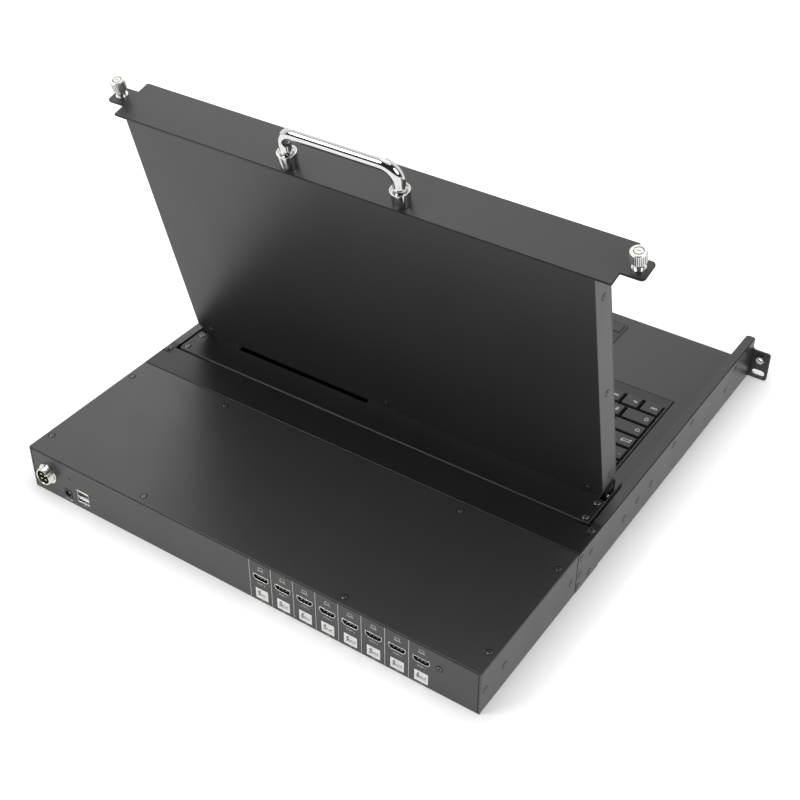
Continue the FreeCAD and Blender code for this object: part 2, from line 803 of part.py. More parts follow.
def dual_port():
    """Two stacked sockets on the low board, in one shell with two legs."""
    back = "caseDepth + portProud - dualDepth"
    x, seat = "dualPlace - dualWidth/2", "lowBoard + boardGauge"
    shell = block("dualShell", x, back, up("dualLow"), "dualWidth", "dualDepth", "dualTall")
    legs = block("dualLegs", x, back, up(seat), "dualWidth", "dualDepth/2", f"dualLow - ({seat})")
    wall = "(dualTall - 2*dualOpening)/3"
    hollows, tongues = [], []
    for story in range(2):
        level = f"dualLow + {wall} + {story}*(dualOpening + {wall})"
        hollows.append(block("dualHollow", f"{x} + dualShell", f"{back} + dualFloor", up(level),
                             "dualWidth - 2*dualShell", "dualDepth", "dualOpening"))
        tongues.append(block("dualTongue", f"{x} + 3*dualShell", f"{back} + dualFloor",
                             up(f"{level} + dualOpening - dualTongue - {wall}"), "dualWidth - 6*dualShell",
                             "dualDepth - dualFloor - tongueRecess", "dualTongue"))
    solid = fuse("dualSolid", [shell, legs])
    node("usb_a_port", cut("dualPort", solid, fuse("dualHollows", hollows)))
    return tongues


def power_jack():
    back = "caseDepth + portProud - jackDepth"
    seat = "lowBoard + boardGauge"
    shell = block("jackShell", "jackPlace - jackWidth/2", back, up("jackHeight - jackWidth/2"), "jackWidth",
                  "jackDepth", "jackWidth")
    foot = block("jackFoot", "jackPlace - jackWidth/2", back, up(seat), "jackWidth", "jackDepth/2",
                 f"jackHeight - jackWidth/2 - ({seat})")
    bore = rod("jackHole", "+y", "jackPlace", f"{back} + jackFloor", up("jackHeight"),
               "jackBore", "jackDepth")
    node("dc_jack", cut("jackBody", fuse("jackSolid", [shell, foot]), bore))
    return prism("jackPinRod", "+y", "jackPlace", f"{back} + jackFloor", up("jackHeight"), "jackPin",
                 "jackDepth - jackFloor - tongueRecess")


def round_connector(pins):
    """The threaded round connector: shell with a flange, insert and four pins."""
    shell = turned("round_connector", [
        ("roundBore", "-roundInside"), ("roundBarrel", "-roundInside"), ("roundBarrel", "0"),
        ("roundFlange", "0"), ("roundFlange", "roundFlangeGauge"), ("roundBarrel", "roundFlangeGauge"),
        ("roundBarrel", "roundProud"), ("roundBore", "roundProud")])
    node("round_connector", place(shell, "+y", "roundPlace", "caseDepth", up("roundHeight")))
    base = rod("insertBase", "+y", "roundPlace", "caseDepth - roundInside", up("roundHeight"), "roundBore",
               "roundInside + roundFlangeGauge/2")
    for turn in range(4):
        angle = f"({turn}*90 + 45)"
        pins.append(prism("insertPin", "+y", f"roundPlace + roundPinCircle*cos({angle})",
                          "caseDepth + roundFlangeGauge/2", up(f"roundHeight + roundPinCircle*sin({angle})"),
                          "roundPin", "roundPinLength"))
    node("round_insert", base)
    node("contact_pins", group("contactPins", pins))
    lens = rod("statusLed", "+y", "ledPlace", "caseDepth - ledDepth", up("ledHeight"), "ledRadius",
               "ledDepth + ledProud")
    node("status_led", lens)


def boards():
    """The low board carries the peripheral sockets, the high board the video sockets."""
    deep = "(caseDepth - rearGauge - boardClear)"
    far = f"({port_line(PORTS - 1)} - hdmiWidth/2 - boardInset)"
    near = f"({port_line(0)} + hdmiWidth/2 + boardInset)"
    node("port_board", block("portBoard", far, f"{deep} - boardDepth", up("lowBoard"),
                             f"roundPlace - roundBarrel - boardInset - ({far})", "boardDepth", "boardGauge"))
    node("video_board", block("videoBoard", far, f"{deep} - boardDepth", up("highBoard"),
                              f"{near} - {far}", "boardDepth", "boardGauge"))
    posts = []
    for x in (f"{far} + boardInset", f"{near} - boardInset"):
        for y in (f"{deep} - boardDepth + boardInset", f"{deep} - boardDepth/2"):
            posts.append(prism("boardPost", "+z", x, y, up("lowBoard + boardGauge"), "standoffRadius",
                               "highBoard - lowBoard - boardGauge"))
            posts.append(prism("boardFoot", "+z", x, y, up("coverGauge"), "standoffRadius",
                               "lowBoard - coverGauge"))
    node("board_standoffs", group("boardPosts", posts))


def chassis():
    for side, sign in SIDES:
        node(f"side_rail_{side}", side_rail(side, sign))
    node("ear_nuts", group("earNuts", [ear_nut(side, sign) for side, sign in SIDES]))
    bridge()
    module_shell()
    rear_panel()
    ports()
    boards()
    node("chassis_screws", group("chassisScrews", [bridge_screw(sign) for side, sign in SIDES]))


# Drawer

def tray():
    """The sliding pan: floor, front wall, and side walls that rise behind the lid."""
    owner = body("drawer_pan")
    floor = sketch(owner, "XY_Plane", up("trayLift"))
    rectangle(floor, f"-{tray_outer}", "trayFront", f"2*{tray_outer}", "trayRear - trayFront")
    pad(owner, floor, "trayGauge")
    for side, sign in SIDES:
        wall = sketch(owner, "YZ_Plane", lowest(sign, tray_inner, tray_outer))
        outline(wall, [("trayFront", up("trayLift")), ("trayRear", up("trayLift")),
                       ("trayRear", up(cover_under)), ("hingeCoverFront", up(cover_under)),
                       ("hingeCoverFront", up("trayRim")), ("trayFront", up("trayRim"), "flangeCorner")])
        pad(owner, wall, "trayGauge")
    front = sketch(owner, "XZ_Plane", "trayFront")
    rectangle(front, f"-{tray_outer}", up("trayLift"), f"2*{tray_outer}", "deckHeight - deckGauge - trayLift")
    pad(owner, front, "trayGauge")
    node("drawer_pan", owner)
    floor_top = "trayLift + trayGauge"
    wall = body("drawer_rear")
    panel = sketch(wall, "XZ_Plane", "trayRear - trayGauge")
    rectangle(panel, f"-{tray_inner}", up(floor_top), f"2*{tray_inner}", f"{cover_under} - ({floor_top})")
    cable_port(panel)
    pad(wall, panel, "trayGauge")
    node("drawer_rear", wall)


def deck():
    """The top surface of the drawer, open for the keyboard and the touchpad."""
    half = f"({tray_inner} - deckClear)"
    owner = plate("tray_deck", "XY_Plane", up("deckHeight - deckGauge"), "deckGauge",
                  [(f"-{half}", "trayFront"), (half, "trayFront"), (half, "hingeCoverFront - seamGap"),
                   (f"-{half}", "hingeCoverFront - seamGap")],
                  [("-keyboardWidth/2", "keyboardFront", "keyboardWidth", "keyboardDepth"),
                   ("-padUnitWidth/2", "padUnitFront", "padUnitWidth", "padUnitDepth", "padUnitCorner")])
    node("tray_deck", owner)


def hinge_cover():
    """The raised cover over the hinge zone, notched at both ends for the hinge arms."""
    half = hinge_cover_half
    inner, rear = f"({half} - notchWidth)", "(hingeCoverFront + notchDepth)"
    blank = body("hinge_cover")
    top = sketch(blank, "XY_Plane", up(cover_under))
    outline(top, [("-" + inner, "hingeCoverFront"), (inner, "hingeCoverFront"), (inner, rear), (half, rear),
                  (half, "trayRear", "hingeCoverCorner"), ("-" + half, "trayRear", "hingeCoverCorner"),
                  ("-" + half, rear), ("-" + inner, rear)])
    rectangle(top, "lidCableLeft", "lidCableFront", "lidCableRight - lidCableLeft",
              "lidCableRear - lidCableFront")
    pad(blank, top, "coverGauge")
    skirt = sketch(blank, "XZ_Plane", "hingeCoverFront")
    rectangle(skirt, f"-{inner}", up("deckHeight - deckGauge"), f"2*{inner}",
              f"{cover_under} - deckHeight + deckGauge")
    pad(blank, skirt, "coverGauge")
    node("hinge_cover", blank)
    heads = []
    for side, sign in SIDES:
        for y in (f"{rear} + screwInset", "trayRear - screwInset"):
            heads.append(rod("hingeScrew", "+z", mirror(sign, f"{hinge_cover_half} - screwInset"), y,
                             up("caseHeight"), "flatHead", "flatHeight"))
    node("drawer_screws", group("drawerScrews", heads))


def hinge_fixed(side, sign):
    """The hinge's fixed half: a foot on the pan, an upright ear and a pin with its nut."""
    owner = body(f"hingeBase_{side}")
    upright = sketch(owner, "YZ_Plane", lowest(sign, base_inner, base_outer))
    seat, crown = "trayLift + trayGauge", "hingeHeight + eyeRadius"
    front, rear = "hingeSetback - eyeRadius", "hingeSetback + eyeRadius"
    heel = "(hingeSetback + baseLength - eyeRadius)"
    outline(upright, [(front, up(seat)), (heel, up(seat)), (heel, up("hingeHeight - eyeRadius")),
                      (rear, up("hingeHeight")), (rear, up(crown), "eyeRadius/2"),
                      (front, up(crown), "eyeRadius/2")])
    disc(upright, "hingeSetback", up("hingeHeight"), "pinRadius")
    pad(owner, upright, "baseGauge")
    foot = sketch(owner, "XY_Plane", up(seat))
    rectangle(foot, lowest(sign, f"({base_outer} - baseFoot)", base_outer), "hingeSetback - eyeRadius",
              "baseFoot", "baseLength")
    pad(owner, foot, "baseGauge")
    way = "+x" if sign > 0 else "-x"
    at = (mirror(sign, f"{base_inner} - pinNut"), "hingeSetback", up("hingeHeight"))
    pin = rod(f"pinRod_{side}", way, *at, "pinRadius", f"{arm_outer} - ({base_inner}) + pinNut")
    nut = prism(f"pinNut_{side}", way, *at, "nutAcross", "pinNut")
    return owner, fuse(f"hingePin_{side}", [pin, nut])


def keyboard():
    """A well for each row of keys, and the keys of each row as one group."""
    left, front = "-keyboardWidth/2", "keyboardFront"
    frame = block("keyboardBlank", f"{left} + keyboardFit", f"{front} + keyboardFit", up("keyboardBase"),
                  "keyboardWidth - 2*keyboardFit", "keyboardDepth - 2*keyboardFit",
                  "keyboardTop - keyboardBase")
    wells = []
    for row, widths in enumerate(MAIN_ROWS):
        low = f"(keyboardFront + keyBorder + {row}*keyRowPitch)"
        depth = "functionDepth" if row == len(MAIN_ROWS) - 1 else "(keyRowPitch - keyGap)"
        wells.append(block("keyWell", f"{left} + keySide - keyClear", f"{low} - keyClear",
                           up("keyBottom - keyTravel - keyClear"), "keyboardWidth - 2*keySide + 2*keyClear",
                           f"{depth} + 2*keyClear", "keyboardTop"))
        keys = []
        start = 0
        for width in widths:
            keys.append(key(f"{left} + keySide + {start}*keyPitch", low, f"{width}*keyPitch - keyGap", depth))
            start += width
        for column, width in enumerate(PAD_ROW):
            keys.append(key(f"-({left}) - keySide + keyGap - {len(PAD_ROW) - column}*keyPitch", low,
                            f"{width}*keyPitch - keyGap", depth))
        node(f"key_row_{row + 1}", group(f"keyRow_{row + 1}", keys))
    node("keyboard_frame", cut("keyboardFrame", frame, fuse("keyWells", wells)))


def key(x, y, width, depth):
    """A keycap that narrows towards its top."""
    cap = doc.addObject("Part::Wedge", "keycap")
    sides = (("Xmin", "0"), ("Xmax", width), ("X2min", "keyTaper"), ("X2max", f"{width} - keyTaper"),
             ("Zmin", "0"), ("Zmax", depth), ("Z2min", "keyTaper"), ("Z2max", f"{depth} - keyTaper"),
             ("Ymin", "0"), ("Ymax", "keyTop - keyBottom"))
    for path, text in sides:
        bind(cap, path, text)
    return place(cap, "-y", x, f"{y} + {depth}", up("keyBottom"))


def touchpad():
    """The pointing unit: a frame let into the deck, a touch surface and two click buttons."""
    frame = body("padBlank")
    shape = sketch(frame, "XY_Plane", up("padUnitBase"))
    rectangle(shape, "-padUnitWidth/2 + keyboardFit", "padUnitFront + keyboardFit",
              "padUnitWidth - 2*keyboardFit", "padUnitDepth - 2*keyboardFit", "padUnitCorner - keyboardFit")
    pad(frame, shape, "padUnitTop - padUnitBase")
    seat = "padUnitTop - touchRecess - touchGauge"
    touch = block("touchHollow", "-touchWidth/2", "touchFront", up(seat), "touchWidth", "touchDepth",
                  "padUnitTop")
    hollows = [touch]
    for side, sign in SIDES:
        x = lowest(sign, "padUnitWidth/2 - clickInset - clickWidth", "padUnitWidth/2 - clickInset")
        low = "clickTop - clickTravel - clickGauge"
        hollows.append(block("clickWell", f"{x} - keyClear", "clickFront - keyClear",
                             up(f"{low} - clickTravel - keyClear"), "clickWidth + 2*keyClear",
                             "clickDepth + 2*keyClear", "padUnitTop"))
        node(f"touch_button_{side}", block(f"clickButton_{side}", x, "clickFront", up(low), "clickWidth",
                                           "clickDepth", f"clickTop - ({low})"))
    node("touchpad_frame", cut("padFrame", frame, fuse("padHollows", hollows)))
    node("touchpad", block("touchPlate", "-touchWidth/2", "touchFront", up(seat), "touchWidth", "touchDepth",
                           "touchGauge"))


def drawer():
    tray()
    deck()
    hinge_cover()
    bases, pins = zip(*[hinge_fixed(side, sign) for side, sign in SIDES])
    node("hinge_bases", group("hingeBases", list(bases)))
    node("hinge_pins", group("hingePins", list(pins)))
    keyboard()
    touchpad()


# Lid

def lid_shell():
    """The rear shell: a shallow tray with cut corners at the hinge end."""
    blank = body("lid_shell")
    outer = sketch(blank, "XY_Plane", "-lidFrontFace + lidGauge")
    outline(outer, cut_corners(lid_half, "lidBottom", panel_back, "lidCorner"))
    pad(blank, outer, "lidTopFace + lidFrontFace - lidGauge")
    inner = sketch(blank, "XY_Plane", "-lidFrontFace")
    outline(inner, cut_corners(lid_inner, "(lidBottom + lidGauge)", f"{panel_back} + lidGauge", "lidCorner"))
    pocket(blank, inner, "lidTopFace + lidFrontFace - lidGauge")
    for side, sign in SIDES:
        gap = sketch(blank, "XY_Plane", "-lidFrontFace")
        rectangle(gap, lowest(sign, f"{arm_inner} - armSlotClear", arm_outer),
                  "-(lidBottom + lidCorner + lidGauge)", "armGauge + armSlotClear", "lidCorner + 3*lidGauge")
        pocket(blank, gap, "lidTopFace + lidFrontFace - 2*lidGauge")
    node("lid_shell", hinged(blank))


def cut_corners(half, near, far, corner):
    """The lid's outline, from the hinge end to the free end, with its hinge corners cut off."""
    side, end = f"-({near} + {corner})", f"-{near}"
    return [(f"-{half}", far), (half, far), (half, side), (f"{half} - {corner}", end),
            (f"-({half} - {corner})", end), (f"-{half}", side)]


def display():
    """Bezel, glass, panel, its board and the menu buttons."""
    window = (f"-{screen_half}", f"-{screen_high}", f"2*{screen_half}", f"({screen_high} - {screen_low})")
    holes = [(f"osdFirst + {i}*osdPitch - osdWidth/2 - osdClear", "-osdPlace - osdDepth/2 - osdClear",
              "osdWidth + 2*osdClear", "osdDepth + 2*osdClear") for i in range(MENU_KEYS)]
    bezel = plate("lid_bezel", "XY_Plane", "-lidFrontFace", "lidGauge",
                  cut_corners(lid_half, "lidBottom", panel_back, "lidCorner"), [window] + holes)
    node("lid_bezel", hinged(bezel))
    fit = "screenFit"
    glass = block("screenPane", f"{window[0]} + {fit}", f"{window[1]} + {fit}", "-lidFrontFace",
                  f"{window[2]} - 2*{fit}", f"{window[3]} - 2*{fit}", "lidGauge")
    node("screen_glass", hinged(group("screenGlass", [glass])))
    panel = block("lcdBlock", f"{window[0]} - lcdMargin", f"{window[1]} - lcdMargin",
                  "-lidFrontFace + lidGauge", f"{window[2]} + 2*lcdMargin", f"{window[3]} + 2*lcdMargin",
                  "lcdThick")
    node("lcd_panel", hinged(group("lcdPanel", [panel])))
    board = block("displayBlock", "-boardWidth/2", f"-({screen_low} + {screen_high} + boardDepth)/2",
                  "-lidFrontFace + lidGauge + lcdThick + boardGap", "boardWidth", "boardDepth", "boardGauge")
    node("display_board", hinged(group("displayBoard", [board])))
    caps = [block("osdCap", f"osdFirst + {i}*osdPitch - osdWidth/2", "-osdPlace - osdDepth/2",
                  "-lidFrontFace - osdProud", "osdWidth", "osdDepth", "lidGauge + osdProud")
            for i in range(MENU_KEYS)]
    node("osd_buttons", hinged(group("osdButtons", caps)))


def hinge_arm(side, sign):
    """The hinge's moving half: an eye on the pin and a leaf along the lid's side wall."""
    owner = body(f"hingeArm_{side}")
    drawing = sketch(owner, "YZ_Plane", lowest(sign, arm_inner, arm_outer))
    outline(drawing, [("-armLength", "-eyeRadius"), ("eyeRadius", "-eyeRadius", "eyeRadius*0.9"),
                      ("eyeRadius", "eyeRadius", "eyeRadius*0.9"), ("-armLength", "eyeRadius")])
    disc(drawing, "0", "0", "pinRadius + pinClear")
    pad(owner, drawing, "armGauge")
    return owner


def front_panel():
    """The one-unit front panel on the lid's free edge, with a tab at each end for a thumbscrew."""
    owner = body("front_panel")
    drawing = sketch(owner, "XZ_Plane", panel_face)
    half, tip = "caseWidth/2", ear_tip
    low, high = "(screwHeight - hingeHeight - panelHeight/2)", "(screwHeight - hingeHeight + panelHeight/2)"
    under, over = f"({thumb_line} - tabHeight/2)", f"({thumb_line} + tabHeight/2)"
    right = [(half, low, "panelCorner"), (half, under), (tip, under, "tabCorner"),
             (tip, over, "tabCorner"), (half, over), (half, high, "panelCorner")]
    left = [("-" + corner[0],) + corner[1:] for corner in reversed(right)]
    outline(drawing, right + left)
    for side, sign in SIDES:
        disc(drawing, mirror(sign, slot_line), thumb_line, "sleeveRadius")
    pad(owner, drawing, "panelGauge")
    node("front_panel", hinged(owner))


def handle():
    """A bent round bar on two flared ferrules, held by two nuts inside the lid."""
    owner = body("handle")
    profile = sketch(owner, "XZ_Plane", panel_face)
    disc(profile, "-handleSpan/2", handle_line, "handleRadius")
    spine = sketch(owner, "XY_Plane", handle_line)
    bar(spine, "handleSpan/2", panel_face, f"{panel_face} - handleRise + handleRadius", "handleBend")
    pipe = owner.newObject("PartDesign::AdditivePipe", "handleBar")
    pipe.Profile = profile
    pipe.Spine = (spine, ["Edge1", "Edge2", "Edge3", "Edge4", "Edge5"])
    node("handle", hinged(owner))
    ferrules, nuts = [], []
    for side, sign in SIDES:
        x = mirror(sign, "handleSpan/2")
        ferrules.append(ferrule(x))
        nuts.append(prism("handleNut", "+y", x, f"({panel_back} + lidGauge)", handle_line,
                          "panHead", "panHeight"))
    node("handle_ferrules", hinged(group("handleFerrules", ferrules)))
    node("lid_screws", hinged(group("lidScrews", nuts)))


def ferrule(x):
    """A flared collar round a leg of the handle, dished at its top."""
    flare = turned("ferrule", [
        ("handleRadius", "0"), ("ferruleFoot", "0"), ("ferruleTop", "ferruleHeight"),
        ("ferruleTop - ferruleRim", "ferruleHeight"), ("handleRadius", "ferruleHeight - ferruleDish")])
    return place(flare, "-y", x, panel_face, handle_line)


def bar(drawing, half, foot, crest, bend):
    """The line of a bow: up, round a bend, across, round a bend and down again."""
    left, right = value(f"-({half})"), value(half)
    low, high, radius = value(foot), value(crest), value(bend)
    point = FreeCAD.Vector
    slack = radius * (1 - math.sqrt(0.5))
    ends = point(left, low, 0), point(right, low, 0)
    legs = point(left, high + radius, 0), point(right, high + radius, 0)
    corners = point(left + slack, high + slack, 0), point(right - slack, high + slack, 0)
    top = point(left + radius, high, 0), point(right - radius, high, 0)
    shapes = (
        Part.LineSegment(ends[0], legs[0]),
        Part.Arc(legs[0], corners[0], top[0]),
        Part.LineSegment(top[0], top[1]),
        Part.Arc(top[1], corners[1], legs[1]),
        Part.LineSegment(legs[1], ends[1]),
    )
    lines = [drawing.addGeometry(shape, False) for shape in shapes]
    for before, arc, after in ((lines[0], lines[1], lines[2]), (lines[2], lines[3], lines[4])):
        first = 1 if (drawing.getPoint(arc, 1) - drawing.getPoint(before, 2)).Length < 1e-6 else 2
        drawing.addConstraint(Sketcher.Constraint("Tangent", before, 2, arc, first))
        drawing.addConstraint(Sketcher.Constraint("Tangent", arc, 3 - first, after, 1))
        measure(drawing, "Radius", (arc,), bend)
    for line, end, side in ((lines[0], 1, f"-({half})"), (lines[4], 2, half)):
        drawing.addConstraint(Sketcher.Constraint("Vertical", line))
        locate(drawing, line, end, side, foot)
    drawing.addConstraint(Sketcher.Constraint("Horizontal", lines[2]))
    measure(drawing, "DistanceY", (lines[2], 1), crest)


def thumbscrew(side, sign):
    """A captive thumbscrew: knob and shank, with a retaining clip in the panel's sleeve."""
    x = mirror(sign, slot_line)
    cavity = "sleeveRise + thumbTravel + thumbClear"
    knob = turned(f"thumbKnob_{side}", [
        ("0", "-panelGauge"), ("shankRadius", "-panelGauge"), ("shankRadius", cavity),
        ("sleeveRadius + keyClear", cavity), ("sleeveRadius + keyClear", "thumbRise"),
        ("thumbFoot", "thumbRise"), ("thumbRadius", "thumbRise + thumbHeight"),
        ("0", "thumbRise + thumbHeight")])
    node(f"thumbscrew_{side}", lid_turned(knob, x))
    crown = "sleeveRise - sleeveLip - thumbClear"
    clip = turned(f"thumbRing_{side}", [
        ("shankRadius + pinClear", f"{crown} - clipGauge"), ("clipRadius", f"{crown} - clipGauge"),
        ("clipRadius", crown), ("shankRadius + pinClear", crown)])
    node(f"thumb_clip_{side}", lid_turned(clip, x))
    collar = turned(f"thumbCollar_{side}", [
        ("sleeveBore", "-panelGauge"), ("sleeveRadius", "-panelGauge"), ("sleeveRadius", "0"),
        ("collarRadius", "0"), ("collarRadius", "collarFlange"), ("sleeveRadius", "collarFlange"),
        ("sleeveRadius", "sleeveRise"), ("shankRadius + keyClear", "sleeveRise"),
        ("shankRadius + keyClear", "sleeveRise - sleeveLip"), ("sleeveBore", "sleeveRise - sleeveLip")])
    return place(collar, "-y", x, panel_face, thumb_line)


def lid_turned(item, x):
    """Stands a turned piece on the front panel's face and opens it with the lid."""
    return hinged(group(item.Name + "Seated", [place(item, "-y", x, panel_face, thumb_line)]))


def lid():
    lid_shell()
    display()
    node("hinge_arms", hinged(group("hingeArms", [hinge_arm(side, sign) for side, sign in SIDES])))
    front_panel()
    handle()
    collars = [thumbscrew(side, sign) for side, sign in SIDES]
    node("thumb_collars", hinged(group("thumbCollars", collars)))


chassis()
slides()
drawer()
lid()
doc.recompute()

for item in doc.Objects:
    if "Invalid" in item.State or "Error" in item.State:
        raise RuntimeError(f"{item.Label} did not build: {item.State}")
os.makedirs("parts", exist_ok=True)
for item in nodes:
    shape = item.Shape
    if shape.isNull() or not shape.isValid() or not shape.Solids:
        raise RuntimeError(f"{item.Label} has no valid solid")
for item in nodes:
    item.Shape.exportStep(f"parts/{item.Label}.step")
    print(f"{item.Label}: {len(item.Shape.Solids)} solid(s), {item.Shape.Volume:.0f} mm3")
print(len(nodes), "nodes")
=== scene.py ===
import bpy
import bmesh
import json
import math
from mathutils import Matrix, Vector


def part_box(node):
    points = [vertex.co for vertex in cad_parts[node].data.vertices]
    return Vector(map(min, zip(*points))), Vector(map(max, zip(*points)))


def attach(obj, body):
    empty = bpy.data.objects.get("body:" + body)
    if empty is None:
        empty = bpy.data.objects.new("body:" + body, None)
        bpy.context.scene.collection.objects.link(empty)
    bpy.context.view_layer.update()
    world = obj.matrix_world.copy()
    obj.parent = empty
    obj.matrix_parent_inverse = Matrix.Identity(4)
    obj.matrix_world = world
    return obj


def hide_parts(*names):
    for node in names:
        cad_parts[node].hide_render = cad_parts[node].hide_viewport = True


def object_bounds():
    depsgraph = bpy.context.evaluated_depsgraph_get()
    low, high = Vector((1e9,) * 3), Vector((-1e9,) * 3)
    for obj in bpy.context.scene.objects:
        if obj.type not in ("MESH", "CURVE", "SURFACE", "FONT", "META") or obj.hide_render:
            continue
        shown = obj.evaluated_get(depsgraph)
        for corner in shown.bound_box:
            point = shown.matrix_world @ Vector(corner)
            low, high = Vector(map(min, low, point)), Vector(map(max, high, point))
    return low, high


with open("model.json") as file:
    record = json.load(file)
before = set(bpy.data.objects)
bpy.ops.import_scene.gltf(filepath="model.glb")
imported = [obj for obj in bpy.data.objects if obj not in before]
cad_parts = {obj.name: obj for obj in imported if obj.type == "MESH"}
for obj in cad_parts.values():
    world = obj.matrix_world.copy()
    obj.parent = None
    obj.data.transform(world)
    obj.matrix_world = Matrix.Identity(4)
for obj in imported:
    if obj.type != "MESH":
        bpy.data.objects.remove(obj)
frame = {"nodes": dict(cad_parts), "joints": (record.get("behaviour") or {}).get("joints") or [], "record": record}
cadBox = [list(corner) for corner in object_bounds()]
nodes = frame["nodes"]
joints = {joint["name"]: joint for joint in frame["joints"]}
print("frame loaded:", len(nodes), "nodes")


# Shader and geometry graphs, written as sums
class Wire:
    def __init__(self, graph, socket):
        self.graph = graph
        self.socket = socket

    def __add__(self, other):
        return self.graph.math("ADD", self, other)

    def __sub__(self, other):
        return self.graph.math("SUBTRACT", self, other)

    def __rsub__(self, other):
        return self.graph.math("SUBTRACT", other, self)

    def __mul__(self, other):
        return self.graph.math("MULTIPLY", self, other)

    def __truediv__(self, other):
        return self.graph.math("DIVIDE", self, other)

    __radd__ = __add__
    __rmul__ = __mul__


class Graph:
    def __init__(self, tree):
        self.tree = tree

    def add(self, kind, settings=None, values=None, out=0):
        node = self.tree.nodes.new(kind)
        for name, setting in (settings or {}).items():
            setattr(node, name, setting)
        for name, value in (values or {}).items():
            self.put(node.inputs[name], value)
        return Wire(self, node.outputs[out]) if node.outputs else node

    def put(self, socket, value):
        if isinstance(value, Wire):
            self.tree.links.new(value.socket, socket)
        else:
            socket.default_value = value

    def math(self, operation, first, second, clamp=False):
        settings = {"operation": operation, "use_clamp": clamp}
        return self.add("ShaderNodeMath", settings, {0: first, 1: second})

    def blend(self, factor, first, second):
        node = self.tree.nodes.new("ShaderNodeMix")
        node.data_type = "RGBA"
        self.put(node.inputs["Factor"], factor)
        self.put(node.inputs[6], first)
        self.put(node.inputs[7], second)
        return Wire(self, node.outputs[2])


def opaque(colour):
    return (*colour, 1.0)


def newMaterial(name):
    material = bpy.data.materials.new(name)
    material.use_nodes = True
    material.node_tree.nodes.clear()
    return material, Graph(material.node_tree)


def finishMaterial(graph, values):
    # joins a Principled shader to the output; what varies comes in as wires
    shader = graph.add("ShaderNodeBsdfPrincipled", values=values)
    graph.add("ShaderNodeOutputMaterial", values={"Surface": shader})


def noiseOn(graph, spot, scale, detail):
    return graph.add("ShaderNodeTexNoise", values={"Vector": spot, "Scale": scale, "Detail": detail})


grainDetail = 3.0


def grainNormal(graph, scale, depth, strength):
    spot = graph.add("ShaderNodeTexCoord", out="Object")
    grain = noiseOn(graph, spot, scale, grainDetail)
    return graph.add("ShaderNodeBump", values={"Height": grain, "Distance": depth, "Strength": strength})


def spread(noise, width):
    # a noise as a value that swings about nought
    return (noise - 0.5) * width


paint = {
    "colour": (0.0205, 0.02, 0.0203),   # near-black powder coat
    "worn": (0.027, 0.0264, 0.0267),
    "ior": 1.57,
    "deep": 0.45,   # painted shade: the covers between the lid and the module are darker than the rest, for the lid's shade and dark reflection on them
    "coverShadeIor": 1.42,
    "roughness": 0.38,
    "patch": 0.05, "patchNoise": (9.0, 3.0),   # a noise's scale and detail
    "speck": 0.06, "speckNoise": (900.0, 2.0),
    "streak": 0.08, "streakNoise": (1.0, 2.0), "streakStretch": (30.0, 30.0, 4.0),
    "grainScale": 1700.0, "grainDepth": 0.00006, "grain": 0.35,
}


def paintFinish(name, depth, ior):
    material, graph = newMaterial(name)
    spot = graph.add("ShaderNodeTexCoord", out="Object")
    cloud = noiseOn(graph, spot, *paint["patchNoise"])
    specks = noiseOn(graph, spot, *paint["speckNoise"])
    stretched = graph.add("ShaderNodeMapping", values={"Vector": spot, "Scale": paint["streakStretch"]})
    wiped = noiseOn(graph, stretched, *paint["streakNoise"])
    # depth scales both tones down; below 1 it is painted shade
    fresh, worn = [opaque([channel * depth for channel in paint[tone]]) for tone in ("colour", "worn")]
    colour = graph.blend(cloud, fresh, worn)
    roughness = (paint["roughness"] + spread(cloud, paint["patch"]) + spread(specks, paint["speck"])
                 + spread(wiped, paint["streak"]))
    finishMaterial(graph, {
        "Base Color": colour, "Roughness": roughness, "IOR": ior,
        "Normal": grainNormal(graph, paint["grainScale"], paint["grainDepth"], paint["grain"])})
    return material


shade = {"colour": (0.004, 0.004, 0.004), "dust": (0.007, 0.007, 0.007), "dustNoise": (120.0, 2.0),
         "roughness": 0.6, "dustRoughness": 0.1, "ior": 1.2, "level": 0.12}


def shadedFinish():
    # painted shade: a near-black, barely glossy finish for the dark line of a tight bend, a gap between two
    # sheets, the seat round a screw and the ground between a knob's ridges
    material, graph = newMaterial("shadedEdge")
    spot = graph.add("ShaderNodeTexCoord", out="Object")
    dust = noiseOn(graph, spot, *shade["dustNoise"])
    finishMaterial(graph, {
        "Base Color": graph.blend(dust, opaque(shade["colour"]), opaque(shade["dust"])),
        "Roughness": shade["roughness"] + dust * shade["dustRoughness"], "IOR": shade["ior"],
        "Specular IOR Level": shade["level"]})
    return material


plates = {
    "brightChrome": {"colour": (0.7, 0.7, 0.71), "roughness": 0.04, "smear": 0.02, "metallic": 1.0},
    "satinNickel": {"colour": (0.76, 0.75, 0.72), "roughness": 0.24, "smear": 0.08, "metallic": 1.0},
    "bluntNickel": {"colour": (0.84, 0.83, 0.8), "roughness": 0.36, "smear": 0.06, "metallic": 1.0},
    "polishedNickel": {"colour": (0.68, 0.67, 0.65), "roughness": 0.1, "smear": 0.04, "metallic": 1.0},
    "zincPlate": {"colour": (0.56, 0.57, 0.58), "roughness": 0.34, "smear": 0.1, "metallic": 1.0},
    "blackZincPlate": {"colour": (0.13, 0.128, 0.13), "roughness": 0.24, "smear": 0.08, "metallic": 0.7},
    "goldContact": {"colour": (0.72, 0.66, 0.52), "roughness": 0.24, "smear": 0.05, "metallic": 1.0},
}
plateWear = {"smearNoise": (160.0, 4.0), "dull": 0.9, "grainScale": 2600.0, "grainDepth": 0.00002}


